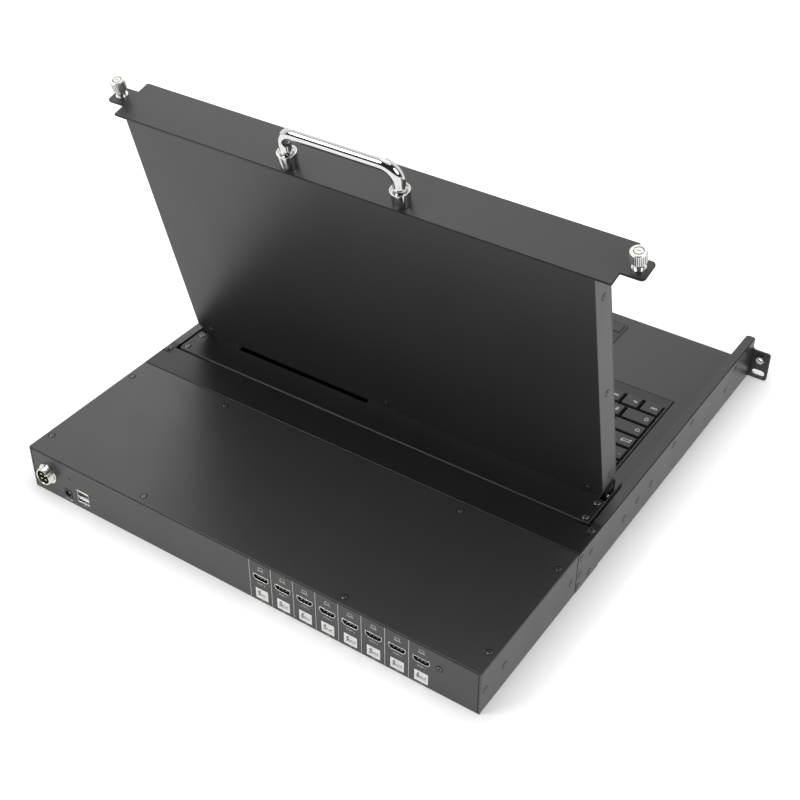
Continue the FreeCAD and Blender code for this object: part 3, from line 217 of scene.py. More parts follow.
def metalFinish(name):
    plate, wear = plates[name], plateWear
    material, graph = newMaterial(name)
    spot = graph.add("ShaderNodeTexCoord", out="Object")
    handled = noiseOn(graph, spot, *wear["smearNoise"])
    roughness = plate["roughness"] + spread(handled, plate["smear"])
    dull = tuple(channel * wear["dull"] for channel in plate["colour"])
    finishMaterial(graph, {
        "Base Color": graph.blend(handled, opaque(plate["colour"]), opaque(dull)),
        "Metallic": plate["metallic"], "Roughness": roughness,
        "Normal": grainNormal(graph, wear["grainScale"], wear["grainDepth"], plate["smear"] * 2)})
    return material


plastics = {
    "keycapPlastic": {"colour": (0.03, 0.03, 0.031), "roughness": 0.42, "grain": 0.3},
    "housingPlastic": {"colour": (0.022, 0.022, 0.023), "roughness": 0.5, "grain": 0.4},
    "touchSurface": {"colour": (0.026, 0.026, 0.027), "roughness": 0.34, "grain": 0.15},
    "whitePlastic": {"colour": (0.93, 0.93, 0.91), "roughness": 0.36, "grain": 0.1},
    "boardLacquer": {"colour": (0.012, 0.1, 0.045), "roughness": 0.3, "grain": 0.2},
    "lampLens": {"colour": (0.03, 0.035, 0.03), "roughness": 0.3, "grain": 0.0},
    "lightPrint": {"colour": (0.66, 0.66, 0.65), "roughness": 0.6, "grain": 0.0},
    "keyPrint": {"colour": (0.9, 0.9, 0.89), "roughness": 0.55, "grain": 0.0},
}
plasticWear = {"cloudNoise": (60.0, 2.0), "dark": 0.88, "swing": 0.08, "ior": 1.5,
               "grainScale": 2200.0, "grainDepth": 0.00005}


def plasticFinish(name):
    look, wear = plastics[name], plasticWear
    material, graph = newMaterial(name)
    spot = graph.add("ShaderNodeTexCoord", out="Object")
    cloud = noiseOn(graph, spot, *wear["cloudNoise"])
    dark = tuple(channel * wear["dark"] for channel in look["colour"])
    finishMaterial(graph, {
        "Base Color": graph.blend(cloud, opaque(look["colour"]), opaque(dark)),
        "Roughness": look["roughness"] + spread(cloud, wear["swing"]), "IOR": wear["ior"],
        "Normal": grainNormal(graph, wear["grainScale"], wear["grainDepth"], look["grain"])})
    return material


screenGlass = {"colour": (0.004, 0.0042, 0.005), "haze": (0.006, 0.006, 0.008),
               "hazeNoise": (14.0, 3.0), "roughness": 0.09, "hazeRoughness": 0.05, "ior": 1.5}


def screenFinish():
    glass = screenGlass
    material, graph = newMaterial("screenGlassDark")
    spot = graph.add("ShaderNodeTexCoord", out="Object")
    haze = noiseOn(graph, spot, *glass["hazeNoise"])
    finishMaterial(graph, {
        "Base Color": graph.blend(haze, opaque(glass["colour"]), opaque(glass["haze"])),
        "Roughness": glass["roughness"] + haze * glass["hazeRoughness"], "IOR": glass["ior"]})
    return material


finishes = {
    "dark_paint": paintFinish("darkPowderCoat", 1.0, paint["ior"]),
    "chrome": metalFinish("brightChrome"),
    "zinc_steel": metalFinish("zincPlate"),
    "nickel": metalFinish("satinNickel"),
    "black_zinc": metalFinish("blackZincPlate"),
    "brass_contact": metalFinish("goldContact"),
    "black_plastic": plasticFinish("housingPlastic"),
    "key_plastic": plasticFinish("keycapPlastic"),
    "white_plastic": plasticFinish("whitePlastic"),
    "led_lens": plasticFinish("lampLens"),
    "circuit_board": plasticFinish("boardLacquer"),
    "screen": screenFinish(),
}
touchFinish = plasticFinish("touchSurface")
printFinish = plasticFinish("lightPrint")
keyPrint = plasticFinish("keyPrint")
shaded = shadedFinish()
coverShadePaint = paintFinish("coverShadePowderCoat", paint["deep"], paint["coverShadeIor"])
knobNickel = metalFinish("bluntNickel")
ferruleNickel = metalFinish("polishedNickel")
slotOf = {entry["node"]: entry["material_slot"] for entry in frame["record"]["subparts"]}
for name, cad in nodes.items():
    cad.data.materials.clear()
    cad.data.materials.append(finishes[slotOf[name]])
nodes["touchpad"].data.materials[0] = touchFinish
print("finishes made:", len(bpy.data.materials))


def pieceFrom(mesh, name, body, finish, stands=()):
    # an object that rides a body; without a finish the mesh keeps its own
    piece = bpy.data.objects.new(name, mesh)
    bpy.context.scene.collection.objects.link(piece)
    if finish:
        mesh.materials.clear()
        mesh.materials.append(finish)
    if stands:
        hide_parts(*stands)
    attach(piece, body)
    return piece


def bodyOf(node):
    for body, members in frame["record"]["behaviour"]["bodies"].items():
        if node in members:
            return body


def applied(piece):
    # the evaluated shape as a plain mesh
    shaped = piece.evaluated_get(bpy.context.evaluated_depsgraph_get())
    return bpy.data.meshes.new_from_object(shaped)


def scratch(mesh):
    piece = bpy.data.objects.new("scratch", mesh)
    bpy.context.scene.collection.objects.link(piece)
    return piece


def smoothed(mesh, angle):
    mesh.shade_smooth()
    mesh.set_sharp_from_angle(angle=math.radians(angle))


weld = {"gap": 2e-6, "flat": 0.5, "level": 1e-5}   # metres, degrees, metres


def mergedCopy(node):
    # a copy of a CAD node's mesh with its doubled points and flat splits gone
    mesh = nodes[node].data.copy()
    shape = bmesh.new()
    shape.from_mesh(mesh)
    bmesh.ops.remove_doubles(shape, verts=shape.verts, dist=weld["gap"])
    flat = math.radians(weld["flat"])
    bmesh.ops.dissolve_limit(shape, angle_limit=flat, verts=shape.verts, edges=shape.edges)
    shape.to_mesh(mesh)
    shape.free()
    return mesh


def softEdges(node, width, segments=2, angle=40, finish=None, edge=None):
    # a copy of a CAD node with its sharp edges rounded, as a press brake or a mould leaves them
    slot = slotOf[node]
    mesh = mergedCopy(node)
    mesh.materials.clear()
    # the rounded faces take the edge finish, which is painted shade where that is the shaded finish
    for coat in (finish or finishes[slot], edge or finish or finishes[slot]):
        mesh.materials.append(coat)
    piece = scratch(mesh)
    bevel = piece.modifiers.new("edges", "BEVEL")
    bevel.material = 1
    bevel.width = width
    bevel.segments = segments
    bevel.limit_method = "ANGLE"
    bevel.angle_limit = math.radians(angle)
    bevel.use_clamp_overlap = True
    shaped = applied(piece)
    bpy.data.objects.remove(piece)
    smoothed(shaped, angle)
    weighted = scratch(shaped)
    normals = weighted.modifiers.new("flats", "WEIGHTED_NORMAL")
    normals.keep_sharp = True
    final = applied(weighted)
    bpy.data.objects.remove(weighted)
    return pieceFrom(final, node + "_rounded", bodyOf(node), None, [node])


def lathe(points, steps=64):
    # a closed shape turned about Z from (radius, height) pairs
    shape = bmesh.new()
    rings = []
    for radius, height in points:
        if radius < 1e-7:
            rings.append([shape.verts.new((0, 0, height))])
            continue
        ring = []
        for step in range(steps):
            turn = math.tau * step / steps
            ring.append(shape.verts.new((radius * math.cos(turn), radius * math.sin(turn), height)))
        rings.append(ring)
    for low, high in zip(rings, rings[1:]):
        for step in range(steps):
            corners = [low[step % len(low)], low[(step + 1) % len(low)],
                       high[(step + 1) % len(high)], high[step % len(high)]]
            face = [corner for place, corner in enumerate(corners) if corner not in corners[:place]]
            if len(face) > 2:
                shape.faces.new(face)
    bmesh.ops.recalc_face_normals(shape, faces=shape.faces)
    mesh = bpy.data.meshes.new("lathe")
    shape.to_mesh(mesh)
    shape.free()
    return mesh


def facing(origin, outward, sideways=Vector((1, 0, 0))):
    # a matrix that stands a shape's Z on a surface, with its X as near sideways as it can be
    up = Vector(outward).normalized()
    across = (Vector(sideways) - up * up.dot(Vector(sideways))).normalized()
    turn = Matrix((across, up.cross(across), up)).transposed().to_4x4()
    return Matrix.Translation(origin) @ turn


def strokes(paths, width):
    # flat bars along open paths in a plane
    shape = bmesh.new()
    for path in paths:
        for start, end in zip(path, path[1:]):
            first, last = Vector((*start, 0)), Vector((*end, 0))
            reach = (last - first).normalized() * width / 2
            aside = Vector((-reach.y, reach.x, 0))
            corners = [first - reach - aside, last + reach - aside, last + reach + aside,
                       first - reach + aside]
            shape.faces.new([shape.verts.new(corner) for corner in corners])
    mesh = bpy.data.meshes.new("strokes")
    shape.to_mesh(mesh)
    shape.free()
    return mesh


def joined(meshes, name):
    shape = bmesh.new()
    for mesh in meshes:
        shape.from_mesh(mesh)
    whole = bpy.data.meshes.new(name)
    shape.to_mesh(whole)
    shape.free()
    return whole


def newTree(name, sizes):
    # a geometry tree with one geometry input and named number inputs
    tree = bpy.data.node_groups.new(name, "GeometryNodeTree")
    tree.interface.new_socket("Geometry", in_out="INPUT", socket_type="NodeSocketGeometry")
    for size, (kind, value) in sizes.items():
        socket = tree.interface.new_socket(size, in_out="INPUT", socket_type=kind)
        socket.default_value = value
    tree.interface.new_socket("Geometry", in_out="OUTPUT", socket_type="NodeSocketGeometry")
    graph = Graph(tree)
    entry = tree.nodes.new("NodeGroupInput")
    wires = {socket.name: Wire(graph, socket) for socket in entry.outputs if socket.name}
    return tree, graph, wires


def endTree(graph, geometry, finish):
    real = graph.add("GeometryNodeRealizeInstances", values={0: geometry})
    coated = graph.add("GeometryNodeSetMaterial", values={"Geometry": real, "Material": finish})
    graph.add("NodeGroupOutput", values={0: coated})


def grown(tree, mesh, sizes):
    # runs a geometry tree on a mesh and returns the plain result
    piece = scratch(mesh)
    modifier = piece.modifiers.new(tree.name, "NODES")
    modifier.node_group = tree
    for item in tree.interface.items_tree:
        if item.in_out == "INPUT" and item.name in sizes:
            modifier[item.identifier] = sizes[item.name]
    result = applied(piece)
    bpy.data.objects.remove(piece)
    return result


# Sheet metal and mouldings that come from the frame, with the width of each one's rounded edges
sheetMetal = {
    "side_rail_left": 0.0006, "side_rail_right": 0.0006, "module_pan": 0.0006, "module_cover": 0.0004,
    "rear_panel": 0.00025, "drawer_pan": 0.0005, "drawer_rear": 0.0003,
    "tray_deck": 0.0004, "lid_shell": 0.0007, "lid_bezel": 0.0003, "hinge_bases": 0.0004,
}
# painted shade: these covers take the darker paint, with the usual paint on their rounded edges
shadedCovers = {"bridge_cover": 0.0006, "hinge_cover": 0.0009}
# painted shade: the front panel's rounded edges take the near-black shaded finish
shadedBends = {"front_panel": 0.0004}
mouldings = {
    "keyboard_frame": 0.0005, "touchpad_frame": 0.0005, "touch_button_left": 0.0004,
    "touch_button_right": 0.0004, "usb_b_ports": 0.0003, "usb_a_port": 0.0002, "hdmi_ports": 0.0002,
    "dc_jack": 0.0003, "usb_tongues": 0.0002,
}
polished = {"handle_ferrules": 0.0003, "hinge_arms": 0.0004}
keycaps = {"rows": 6, "edge": 0.0007}
for node, width in {**sheetMetal, **mouldings}.items():
    softEdges(node, width)
for node, width in shadedCovers.items():
    softEdges(node, width, finish=coverShadePaint, edge=finishes["dark_paint"])
for node, width in shadedBends.items():
    softEdges(node, width, edge=shaded)
for node, width in polished.items():
    softEdges(node, width, finish=ferruleNickel)
for row in range(1, keycaps["rows"] + 1):
    softEdges(f"key_row_{row}", keycaps["edge"], segments=3)
print("edges rounded")


# Captive thumbscrews
thumb = {
    "top": 0.0063, "foot": 0.0062, "low": 0.006, "high": 0.016, "chamfer": 0.0007,
    "shank": 0.0021, "cavity": 0.0039, "cavityTop": 0.0102, "tip": -0.0017,
    "groove": 0.0034, "grooveWidth": 0.0005, "grooveDepth": 0.0004,
    "ridges": 28, "ridge": 0.00075, "ridgeInset": 0.0006, "ridgeLength": 0.0076, "ridgeMiddle": 0.0111,
    "markGap": 0.5, "markSteps": 10, "markLine": 0.0005, "markDash": 0.0013, "markProud": 0.00002,
    "ridgeShadeOffset": 0.00004, "ridgeShadeFoot": 0.0008,   # painted shade: a dark band under the ridges, for the shade between them
    "rimDepth": 1.6,   # of the plain rim round the top, in chamfers
    "footEdge": 0.0004, "crease": 35,
}


def ridgeTree():
    # fine ridges that stand round a knob
    sizes = {
        "Count": ("NodeSocketInt", thumb["ridges"]), "Radius": ("NodeSocketFloat", thumb["top"]),
        "Size": ("NodeSocketFloat", thumb["ridge"]), "Length": ("NodeSocketFloat", thumb["ridgeLength"]),
        "Height": ("NodeSocketFloat", thumb["ridgeMiddle"])}
    tree, graph, wires = newTree("knobRidges", sizes)
    ring = graph.add("GeometryNodeMeshCircle", values={"Vertices": wires["Count"], "Radius": wires["Radius"]})
    raised = graph.add("ShaderNodeCombineXYZ", values={"Z": wires["Height"]})
    placed = graph.add("GeometryNodeTransform", values={"Geometry": ring, "Translation": raised})
    turn = graph.add("GeometryNodeInputIndex") / wires["Count"] * math.tau
    turned = graph.add("ShaderNodeCombineXYZ", values={"Z": turn})
    size = graph.add("ShaderNodeCombineXYZ", values={
        "X": wires["Size"], "Y": wires["Size"], "Z": wires["Length"]})
    ridge = graph.add("GeometryNodeMeshCube", values={"Size": size})
    points = graph.add("GeometryNodeInstanceOnPoints", values={
        "Points": placed, "Instance": ridge, "Rotation": turned})
    whole = graph.add("GeometryNodeJoinGeometry", values={0: points})
    graph.tree.links.new(wires["Geometry"].socket, whole.socket.node.inputs[0])
    endTree(graph, whole, knobNickel)
    return tree


def thumbscrew(side, tree):
    joint = joints[f"thumbscrew_{side}_turn"]
    outward = -Vector(joint["axis"])
    t = thumb
    groove = t["groove"]
    core = t["top"] - t["ridgeInset"]
    foot = t["foot"] - t["ridgeInset"]
    rim = t["high"] - t["chamfer"] * t["rimDepth"]
    body = lathe([
        (0, t["tip"]), (t["shank"], t["tip"]), (t["shank"], t["cavityTop"]), (t["cavity"], t["cavityTop"]),
        (t["cavity"], t["low"]), (foot - t["footEdge"], t["low"]), (foot, t["low"] + t["footEdge"]),
        (core, rim - t["ridgeInset"]), (t["top"], rim),
        (t["top"], t["high"] - t["chamfer"]), (t["top"] - t["chamfer"], t["high"]),
        (groove + t["grooveWidth"], t["high"]), (groove + t["grooveWidth"], t["high"] - t["grooveDepth"]),
        (groove, t["high"] - t["grooveDepth"]), (groove, t["high"]), (0, t["high"])])
    smoothed(body, t["crease"])
    whole = grown(tree, body, {"Radius": core, "Count": t["ridges"]})
    stand = facing(joint["pos_m"], outward)
    whole.transform(stand)
    pieceFrom(whole, f"thumbscrew_{side}_knurled", f"screw_{side}", knobNickel,
              [f"thumbscrew_{side}"])
    # painted shade: dark arcs in the ring groove on the top, broken in two places, a dark dash across the middle,
    # and a dark band under the ridges
    arcs = [[(-t["markDash"], 0), (t["markDash"], 0)]]
    for start in (0.0, math.pi):
        sweep = [start + t["markGap"] / 2 + (math.pi - t["markGap"]) * step / t["markSteps"]
                 for step in range(t["markSteps"] + 1)]
        arcs.append([(groove * math.cos(turn), groove * math.sin(turn)) for turn in sweep])
    marks = strokes(arcs, t["markLine"])
    marks.transform(Matrix.Translation((0, 0, t["high"] + t["markProud"])))
    ridgeShade = lathe([(foot + t["ridgeShadeOffset"], t["low"] + t["ridgeShadeFoot"]),
                    (core + t["ridgeShadeOffset"], rim - t["ridgeInset"])])
    marks = joined([marks, ridgeShade], "groove_shade")
    marks.transform(stand)
    pieceFrom(marks, f"thumbscrew_{side}_grooves", f"screw_{side}", shaded)


knobTree = ridgeTree()
for side in ("left", "right"):
    thumbscrew(side, knobTree)
print("thumbscrews made")


# Screws with a cross recess
screws = {
    "countersunk": {"Radius": 0.0025, "Shoulder": 0.0019, "Rise": 0.0004, "Cross": 0.003, "Slit": 0.0008,
                    "ShadeRing": 0.0031},
    "pan": {"Radius": 0.0032, "Shoulder": 0.0023, "Rise": 0.0017, "Cross": 0.0034, "Slit": 0.0009,
            "ShadeRing": 0.0034},
    "flat": {"Radius": 0.003, "Shoulder": 0.0023, "Rise": 0.0006, "Cross": 0.0034, "Slit": 0.0009,
             "ShadeRing": 0.0035},
    "railWall": ((0.0438, 0.034), (0.0612, 0.0192), (0.1387, 0.0324), (0.1759, 0.0335), (0.217, 0.019),
                 (0.2427, 0.019), (0.2673, 0.0177)),   # distance behind the ears, height
    "bracket": ((0.344, 0.035), (0.327, 0.028), (0.344, 0.017), (0.327, 0.006), (0.346, 0.005)),
    "moduleWall": ((0.3595, 0.02), (0.461, 0.0216), (0.488, 0.0206)),
    # from the middle, behind the ears
    "moduleTop": ((0.2175, 0.474), (0.218, 0.373), (0.1, 0.488), (0.1215, 0.359)),
    "lidRear": (0.1955, -0.0008, -0.197),
    "lidRearUp": 0.028,   # along the lid from its hinge
    "lidSide": (0.04, 0.1398, 0.2425),
    "lidSideUp": 0.001,   # above the hinge line, closed
    "panel": (-0.1886, 0.0269),   # the one in the rear panel
    "shadeRingProud": 0.00003, "sides": 24, "slitDepth": 1.3, "seed": 5,
}
underside = cadBox[0][2]
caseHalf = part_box("module_pan")[1][0]
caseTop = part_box("module_cover")[1][2]
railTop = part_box("side_rail_left")[1][2]
earEnd = 0.05   # the rails' ears lie before this
railSide = max(abs(vertex.co.x) for vertex in nodes["side_rail_left"].data.vertices if vertex.co.y > earEnd)
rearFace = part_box("rear_panel")[1][1]
hinge = Vector(joints["lid_hinge"]["pos_m"])
alongLid = -Vector(joints["thumbscrew_left_turn"]["axis"])
outOfLid = Vector((0, alongLid.z, -alongLid.y))
lidBack = max((Vector(vertex.co) - hinge).dot(outOfLid) for vertex in nodes["lid_shell"].data.vertices)


def onLid(x, along, out):
    return hinge + alongLid * along + outOfLid * out + Vector((x, 0, 0))


def screwTree():
    # a low head with a cross recess at each point of a mesh, turned as screws happen to stop
    sizes = {name: ("NodeSocketFloat", size) for name, size in screws["countersunk"].items()}
    tree, graph, wires = newTree("crossScrews", {**sizes, "Seed": ("NodeSocketInt", screws["seed"])})
    head = graph.add("GeometryNodeMeshCone", {"fill_type": "NGON"}, {
        "Vertices": screws["sides"], "Radius Top": wires["Shoulder"], "Radius Bottom": wires["Radius"],
        "Depth": wires["Rise"]})
    cut = graph.add("GeometryNodeMeshBoolean", {"operation": "DIFFERENCE"}, {"Mesh 1": head})
    raised = graph.add("ShaderNodeCombineXYZ", values={"Z": wires["Rise"]})
    for long, short in (("X", "Y"), ("Y", "X")):
        size = graph.add("ShaderNodeCombineXYZ", values={
            long: wires["Cross"], short: wires["Slit"], "Z": wires["Rise"] * screws["slitDepth"]})
        bar = graph.add("GeometryNodeMeshCube", values={"Size": size})
        placed = graph.add("GeometryNodeTransform", values={"Geometry": bar, "Translation": raised})
        graph.tree.links.new(placed.socket, cut.socket.node.inputs["Mesh 2"])
    chance = graph.add("FunctionNodeRandomValue", values={2: 0.0, 3: math.pi / 2, 8: wires["Seed"]}, out=1)
    turn = graph.add("ShaderNodeCombineXYZ", values={"Z": chance})
    coated = graph.add("GeometryNodeSetMaterial", values={
        "Geometry": cut, "Material": finishes["black_zinc"]})
    # painted shade: a flat near-black disc under each head and wider than it, for the shade in the seat round the
    # head
    shadeDisc = graph.add("GeometryNodeMeshCircle", {"fill_type": "NGON"}, {
        "Vertices": screws["sides"], "Radius": wires["ShadeRing"]})
    raisedRing = graph.add("ShaderNodeCombineXYZ", values={"Z": screws["shadeRingProud"]})
    ring = graph.add("GeometryNodeTransform", values={"Geometry": shadeDisc, "Translation": raisedRing})
    shadeRingCoated = graph.add("GeometryNodeSetMaterial", values={"Geometry": ring, "Material": shaded})
    head = graph.add("GeometryNodeJoinGeometry", values={0: coated})
    graph.tree.links.new(shadeRingCoated.socket, head.socket.node.inputs[0])
    heads = graph.add("GeometryNodeInstanceOnPoints", values={
        "Points": wires["Geometry"], "Instance": head, "Rotation": turn})
    real = graph.add("GeometryNodeRealizeInstances", values={0: heads})
    graph.add("NodeGroupOutput", values={0: real})
    return tree


def screwSet(name, body, kind, places, stands=()):
    # one piece for all the screws of a kind on a body; places are pairs of spots and an outward way
    heads = []
    for spots, outward in places:
        sideways = Vector((0, 1, 0)) if abs(outward[0]) > 0.9 else Vector((1, 0, 0))
        stand = facing((0, 0, 0), outward, sideways)
        points = bpy.data.meshes.new("spots")
        points.from_pydata([stand.inverted() @ Vector(spot) for spot in spots], [], [])
        grownHeads = grown(crossTree, points, screws[kind])
        grownHeads.transform(stand)
        heads.append(grownHeads)
    whole = joined(heads, name)
    for coat in heads[0].materials:
        whole.materials.append(coat)
    return pieceFrom(whole, name, body, None, stands)


def boxCentres(node):
    # the middle of each separate solid of a node, at the level of its foot
    mesh = mergedCopy(node)
    shape = bmesh.new()
    shape.from_mesh(mesh)
    left, centres = set(shape.verts), []
    while left:
        found, front = set(), [left.pop()]
        while front:
            vertex = front.pop()
            found.add(vertex)
            near = [edge.other_vert(vertex) for edge in vertex.link_edges]
            front += [other for other in near if other in left]
            left -= set(near)
        corners = [vertex.co for vertex in found]
        low = Vector([min(corner[axis] for corner in corners) for axis in range(3)])
        high = Vector([max(corner[axis] for corner in corners) for axis in range(3)])
        centres.append(Vector(((low.x + high.x) / 2, (low.y + high.y) / 2, low.z)))
    shape.free()
    return sorted(centres, key=lambda spot: (round(spot.y, 5), round(spot.x, 5)))


crossTree = screwTree()
places = []
for sign in (-1, 1):
    wall = [(sign * railSide, y, underside + h) for y, h in screws["railWall"] + screws["bracket"]]
    wall += [(sign * caseHalf, y, underside + h) for y, h in screws["moduleWall"]]
    places.append((wall, (sign, 0, 0)))
places.append(([(sign * x, y, caseTop) for x, y in screws["moduleTop"] for sign in (-1, 1)], (0, 0, 1)))
places.append(([(screws["panel"][0], rearFace, underside + screws["panel"][1])], (0, 1, 0)))
screwSet("case_screws", "chassis", "countersunk", places)
for name, body, kind, node in (("bridge_screws", "chassis", "pan", "chassis_screws"),
                               ("hinge_cover_screws", "drawer", "flat", "drawer_screws")):
    screwSet(name, body, kind, [(boxCentres(node), (0, 0, 1))], [node])
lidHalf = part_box("lid_shell")[1][0]
lidPlaces = [([onLid(x, screws["lidRearUp"], lidBack) for x in screws["lidRear"]], outOfLid)]
for sign in (-1, 1):
    side = [onLid(sign * lidHalf, along, screws["lidSideUp"]) for along in screws["lidSide"]]
    lidPlaces.append((side, (sign, 0, 0)))
screwSet("lid_shell_screws", "lid", "countersunk", lidPlaces)
print("screws made")


# Print on the rear panel and the drawer, with painted shade lines in the panel's gaps
rearPrint = {
    "first": -0.0249, "pitch": -0.0212, "ports": 8,
    "line": 0.00045, "lineFoot": 0.0012, "lineTop": 0.0408, "lineLead": 0.0112,
    "iconHeight": 0.0345, "iconWidth": 0.004, "iconTall": 0.0026, "iconLine": 0.0004,
    "iconFoot": 1.5, "iconGap": 0.0008,   # the line under it, in half widths, and the gap above that
    "videoMark": 0.0192, "usbMark": 0.0016, "markSize": 0.0023, "smallSize": 0.0017,
    "jackMark": (0.184, 0.003), "jackSize": 0.0026, "jackBold": 0.00006,
    "dualMark": (0.1657, 0.0045), "proud": 0.00003,
    "contactDrop": 0.0004, "contacts": (-0.0032, 0.0, 0.0032), "contactHeight": 0.0257,
    "contactLength": 0.0005, "contactLine": 0.0005,
    "gapShadeLine": 0.0005, "gapTop": 0.0419, "gapSide": 0.2217,
}


def wording(words, size, x, y, align="CENTER", bold=0.0):
    curve = bpy.data.curves.new("wording", "FONT")
    curve.body = words
    curve.size = size
    curve.align_x = align
    curve.align_y = "CENTER"
    curve.resolution_u = 2
    curve.offset = bold
    text = bpy.data.objects.new("wording", curve)
    bpy.context.scene.collection.objects.link(text)
    mesh = applied(text)
    bpy.data.objects.remove(text)
    mesh.transform(Matrix.Translation((x, y, 0)))
    return mesh


def printed(name, body, marks, origin, outward, sideways, finish, proud=None):
    whole = joined(marks, name)
    lift = rearPrint["proud"] if proud is None else proud
    whole.transform(facing(origin, outward, sideways) @ Matrix.Translation((0, 0, lift)))
    return pieceFrom(whole, name, body, finish)


def rearMarks():
    p = rearPrint
    marks = []
    for port in range(p["ports"]):
        middle = -(p["first"] + port * p["pitch"])
        line = middle - p["lineLead"]
        marks.append(strokes([[(line, p["lineFoot"]), (line, p["lineTop"])]], p["line"]))
        half, low, high = p["iconWidth"] / 2, p["iconHeight"], p["iconHeight"] + p["iconTall"]
        outline = [(middle - half, low), (middle + half, low), (middle + half, high), (middle - half, high),
                   (middle - half, low)]
        reach, level = half * p["iconFoot"], low - p["iconGap"]
        foot = [(middle - reach, level), (middle + reach, level)]
        marks.append(strokes([outline, foot], p["iconLine"]))
        marks.append(wording(f"PORT {p['ports'] - port}", p["markSize"], middle, p["videoMark"]))
        marks.append(wording("USB", p["smallSize"], middle, p["usbMark"]))
    marks.append(wording("DC 12V", p["jackSize"], -p["jackMark"][0], p["jackMark"][1], bold=p["jackBold"]))
    marks.append(wording("USB", p["smallSize"], -p["dualMark"][0], p["dualMark"][1]))
    return marks


def rearContacts():
    # the light contacts that show in each video socket
    p = rearPrint
    dashes = []
    for port in range(p["ports"]):
        middle = -(p["first"] + port * p["pitch"])
        for aside in p["contacts"]:
            x, half = middle + aside, p["contactLength"] / 2
            dashes.append([(x - half, p["contactHeight"]), (x + half, p["contactHeight"])])
    return [strokes(dashes, p["contactLine"])]


def rearGapShade():
    # painted shade: dark lines where the gaps round the panel fall, under the cover's lip and inside the side
    # walls
    p = rearPrint
    side, top, foot = p["gapSide"], p["gapTop"], p["lineFoot"]
    return [strokes([[(-side, foot), (-side, top), (side, top), (side, foot)]], p["gapShadeLine"])]


rearPlace = ((0, rearFace, underside), (0, 1, 0), (-1, 0, 0))
printed("rear_print", "chassis", rearMarks(), *rearPlace, printFinish)
printed("video_contacts", "chassis", rearContacts(), *rearPlace, printFinish, -rearPrint["contactDrop"])
printed("panel_gap_shade", "chassis", rearGapShade(), *rearPlace, shaded)
print("rear print made")


# Key legends
legends = {
    1: "Ctrl Fn Win Alt  Alt App Ctrl < > 0 . = Ent",
    2: "Shift Z X C V B N M , . / ^ Shift 1 2 3 +",
    3: "Caps A S D F G H J K L ; ' Enter 4 5 6 -",
    4: "Tab Q W E R T Y U I O P [ ] \\ 7 8 9 *",
    5: "` 1 2 3 4 5 6 7 8 9 0 - = Back Num / Up Dn",
    6: "Esc F1 F2 F3 F4 F5 F6 F7 F8 F9 F10 F11 F12 Prt Scr Ins Del Home End",
}
legendLook = {"letter": 0.0052, "word": 0.0038, "edge": 0.0026, "proud": 0.00004, "bold": 0.00009,
              "arrow": 0.0022, "line": 0.0006, "tab": 0.0042, "tabUp": 0.6}
arrowKeys = {"Shift": "arrow", "Caps": "arrow", "Tab": "tab"}


def arrowMark(kind):
    # a hollow arrow for the shift keys, two barred arrows for the tab key
    a, t = legendLook["arrow"], legendLook["tab"]
    if kind == "arrow":
        outline = [(0, a), (a, 0), (a / 2, 0), (a / 2, -a), (-a / 2, -a), (-a / 2, 0), (-a, 0), (0, a)]
        mark = strokes([outline], legendLook["line"])
    else:
        paths = []
        for way in (1, -1):
            tip, up = way * t, way * a * legendLook["tabUp"]
            back = tip - way * a / 2
            paths += [[(-tip, up), (tip, up)], [(back, up + a / 2), (tip, up), (back, up - a / 2)],
                      [(tip, up - a / 2), (tip, up + a / 2)]]
        mark = strokes(paths, legendLook["line"])
    mark.transform(Matrix.Translation((a if kind == "arrow" else t, 0, 0)))
    return mark


def capTops(node):
    # the flat top of each key, from left to right, as its low and high corner
    mesh = mergedCopy(node)
    level = max(vertex.co.z for vertex in mesh.vertices)
    tops = []
    for face in mesh.polygons:
        corners = [mesh.vertices[index].co for index in face.vertices]
        if min(corner.z for corner in corners) > level - weld["level"]:
            tops.append((Vector((min(c.x for c in corners), min(c.y for c in corners), level)),
                         Vector((max(c.x for c in corners), max(c.y for c in corners), level))))
    return sorted(tops, key=lambda top: top[0].x)


def rowLegends(row):
    marks = []
    look = legendLook
    for (low, high), words in zip(capTops(f"key_row_{row}"), legends[row].split(" ")):
        if words:
            size = look["letter"] if len(words) == 1 else look["word"]
            place = (low.x + look["edge"], (low.y + high.y) / 2, high.z + look["proud"])
            mark = (arrowMark(arrowKeys[words]) if words in arrowKeys
                    else wording(words, size, 0, 0, "LEFT", look["bold"]))
            mark.transform(Matrix.Translation(place))
            marks.append(mark)
    return pieceFrom(joined(marks, f"row_{row}_legends"), f"row_{row}_legends", f"keys_{row}", keyPrint)


for row in range(1, keycaps["rows"] + 1):
    rowLegends(row)

padMark = {"x": -0.094, "y": 0.0197, "width": 0.0042, "depth": 0.0032, "line": 0.0003}


def touchMark():
    m = padMark
    half, low, high = m["width"] / 2, -m["depth"] / 2, m["depth"] / 2
    outline = [(-half, low), (half, low), (half, high), (-half, high), (-half, low)]
    marks = strokes([outline, [(0, low), (0, 0)], [(-half, 0), (half, 0)]], m["line"])
    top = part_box("touchpad_frame")[1][2]
    return printed("touchpad_mark", "drawer", [marks], (m["x"], m["y"], top), (0, 0, 1), (-1, 0, 0), keyPrint)


touchMark()

deckGapShade = {"line": 0.0018, "proud": 0.00006}


def gapShadeRound(node, body, level, name):
    # painted shade: a dark line on the deck round a moulded frame, where the gap between them falls
    low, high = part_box(node)
    corners = [(low[0], low[1]), (high[0], low[1]), (high[0], high[1]), (low[0], high[1]), (low[0], low[1])]
    mesh = strokes([corners], deckGapShade["line"])
    mesh.transform(Matrix.Translation((0, 0, level + deckGapShade["proud"])))
    return pieceFrom(mesh, name, body, shaded)


gapShadeRound("keyboard_frame", bodyOf("keyboard_frame"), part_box("tray_deck")[1][2], "keyboard_gap_shade")
print("legends made")


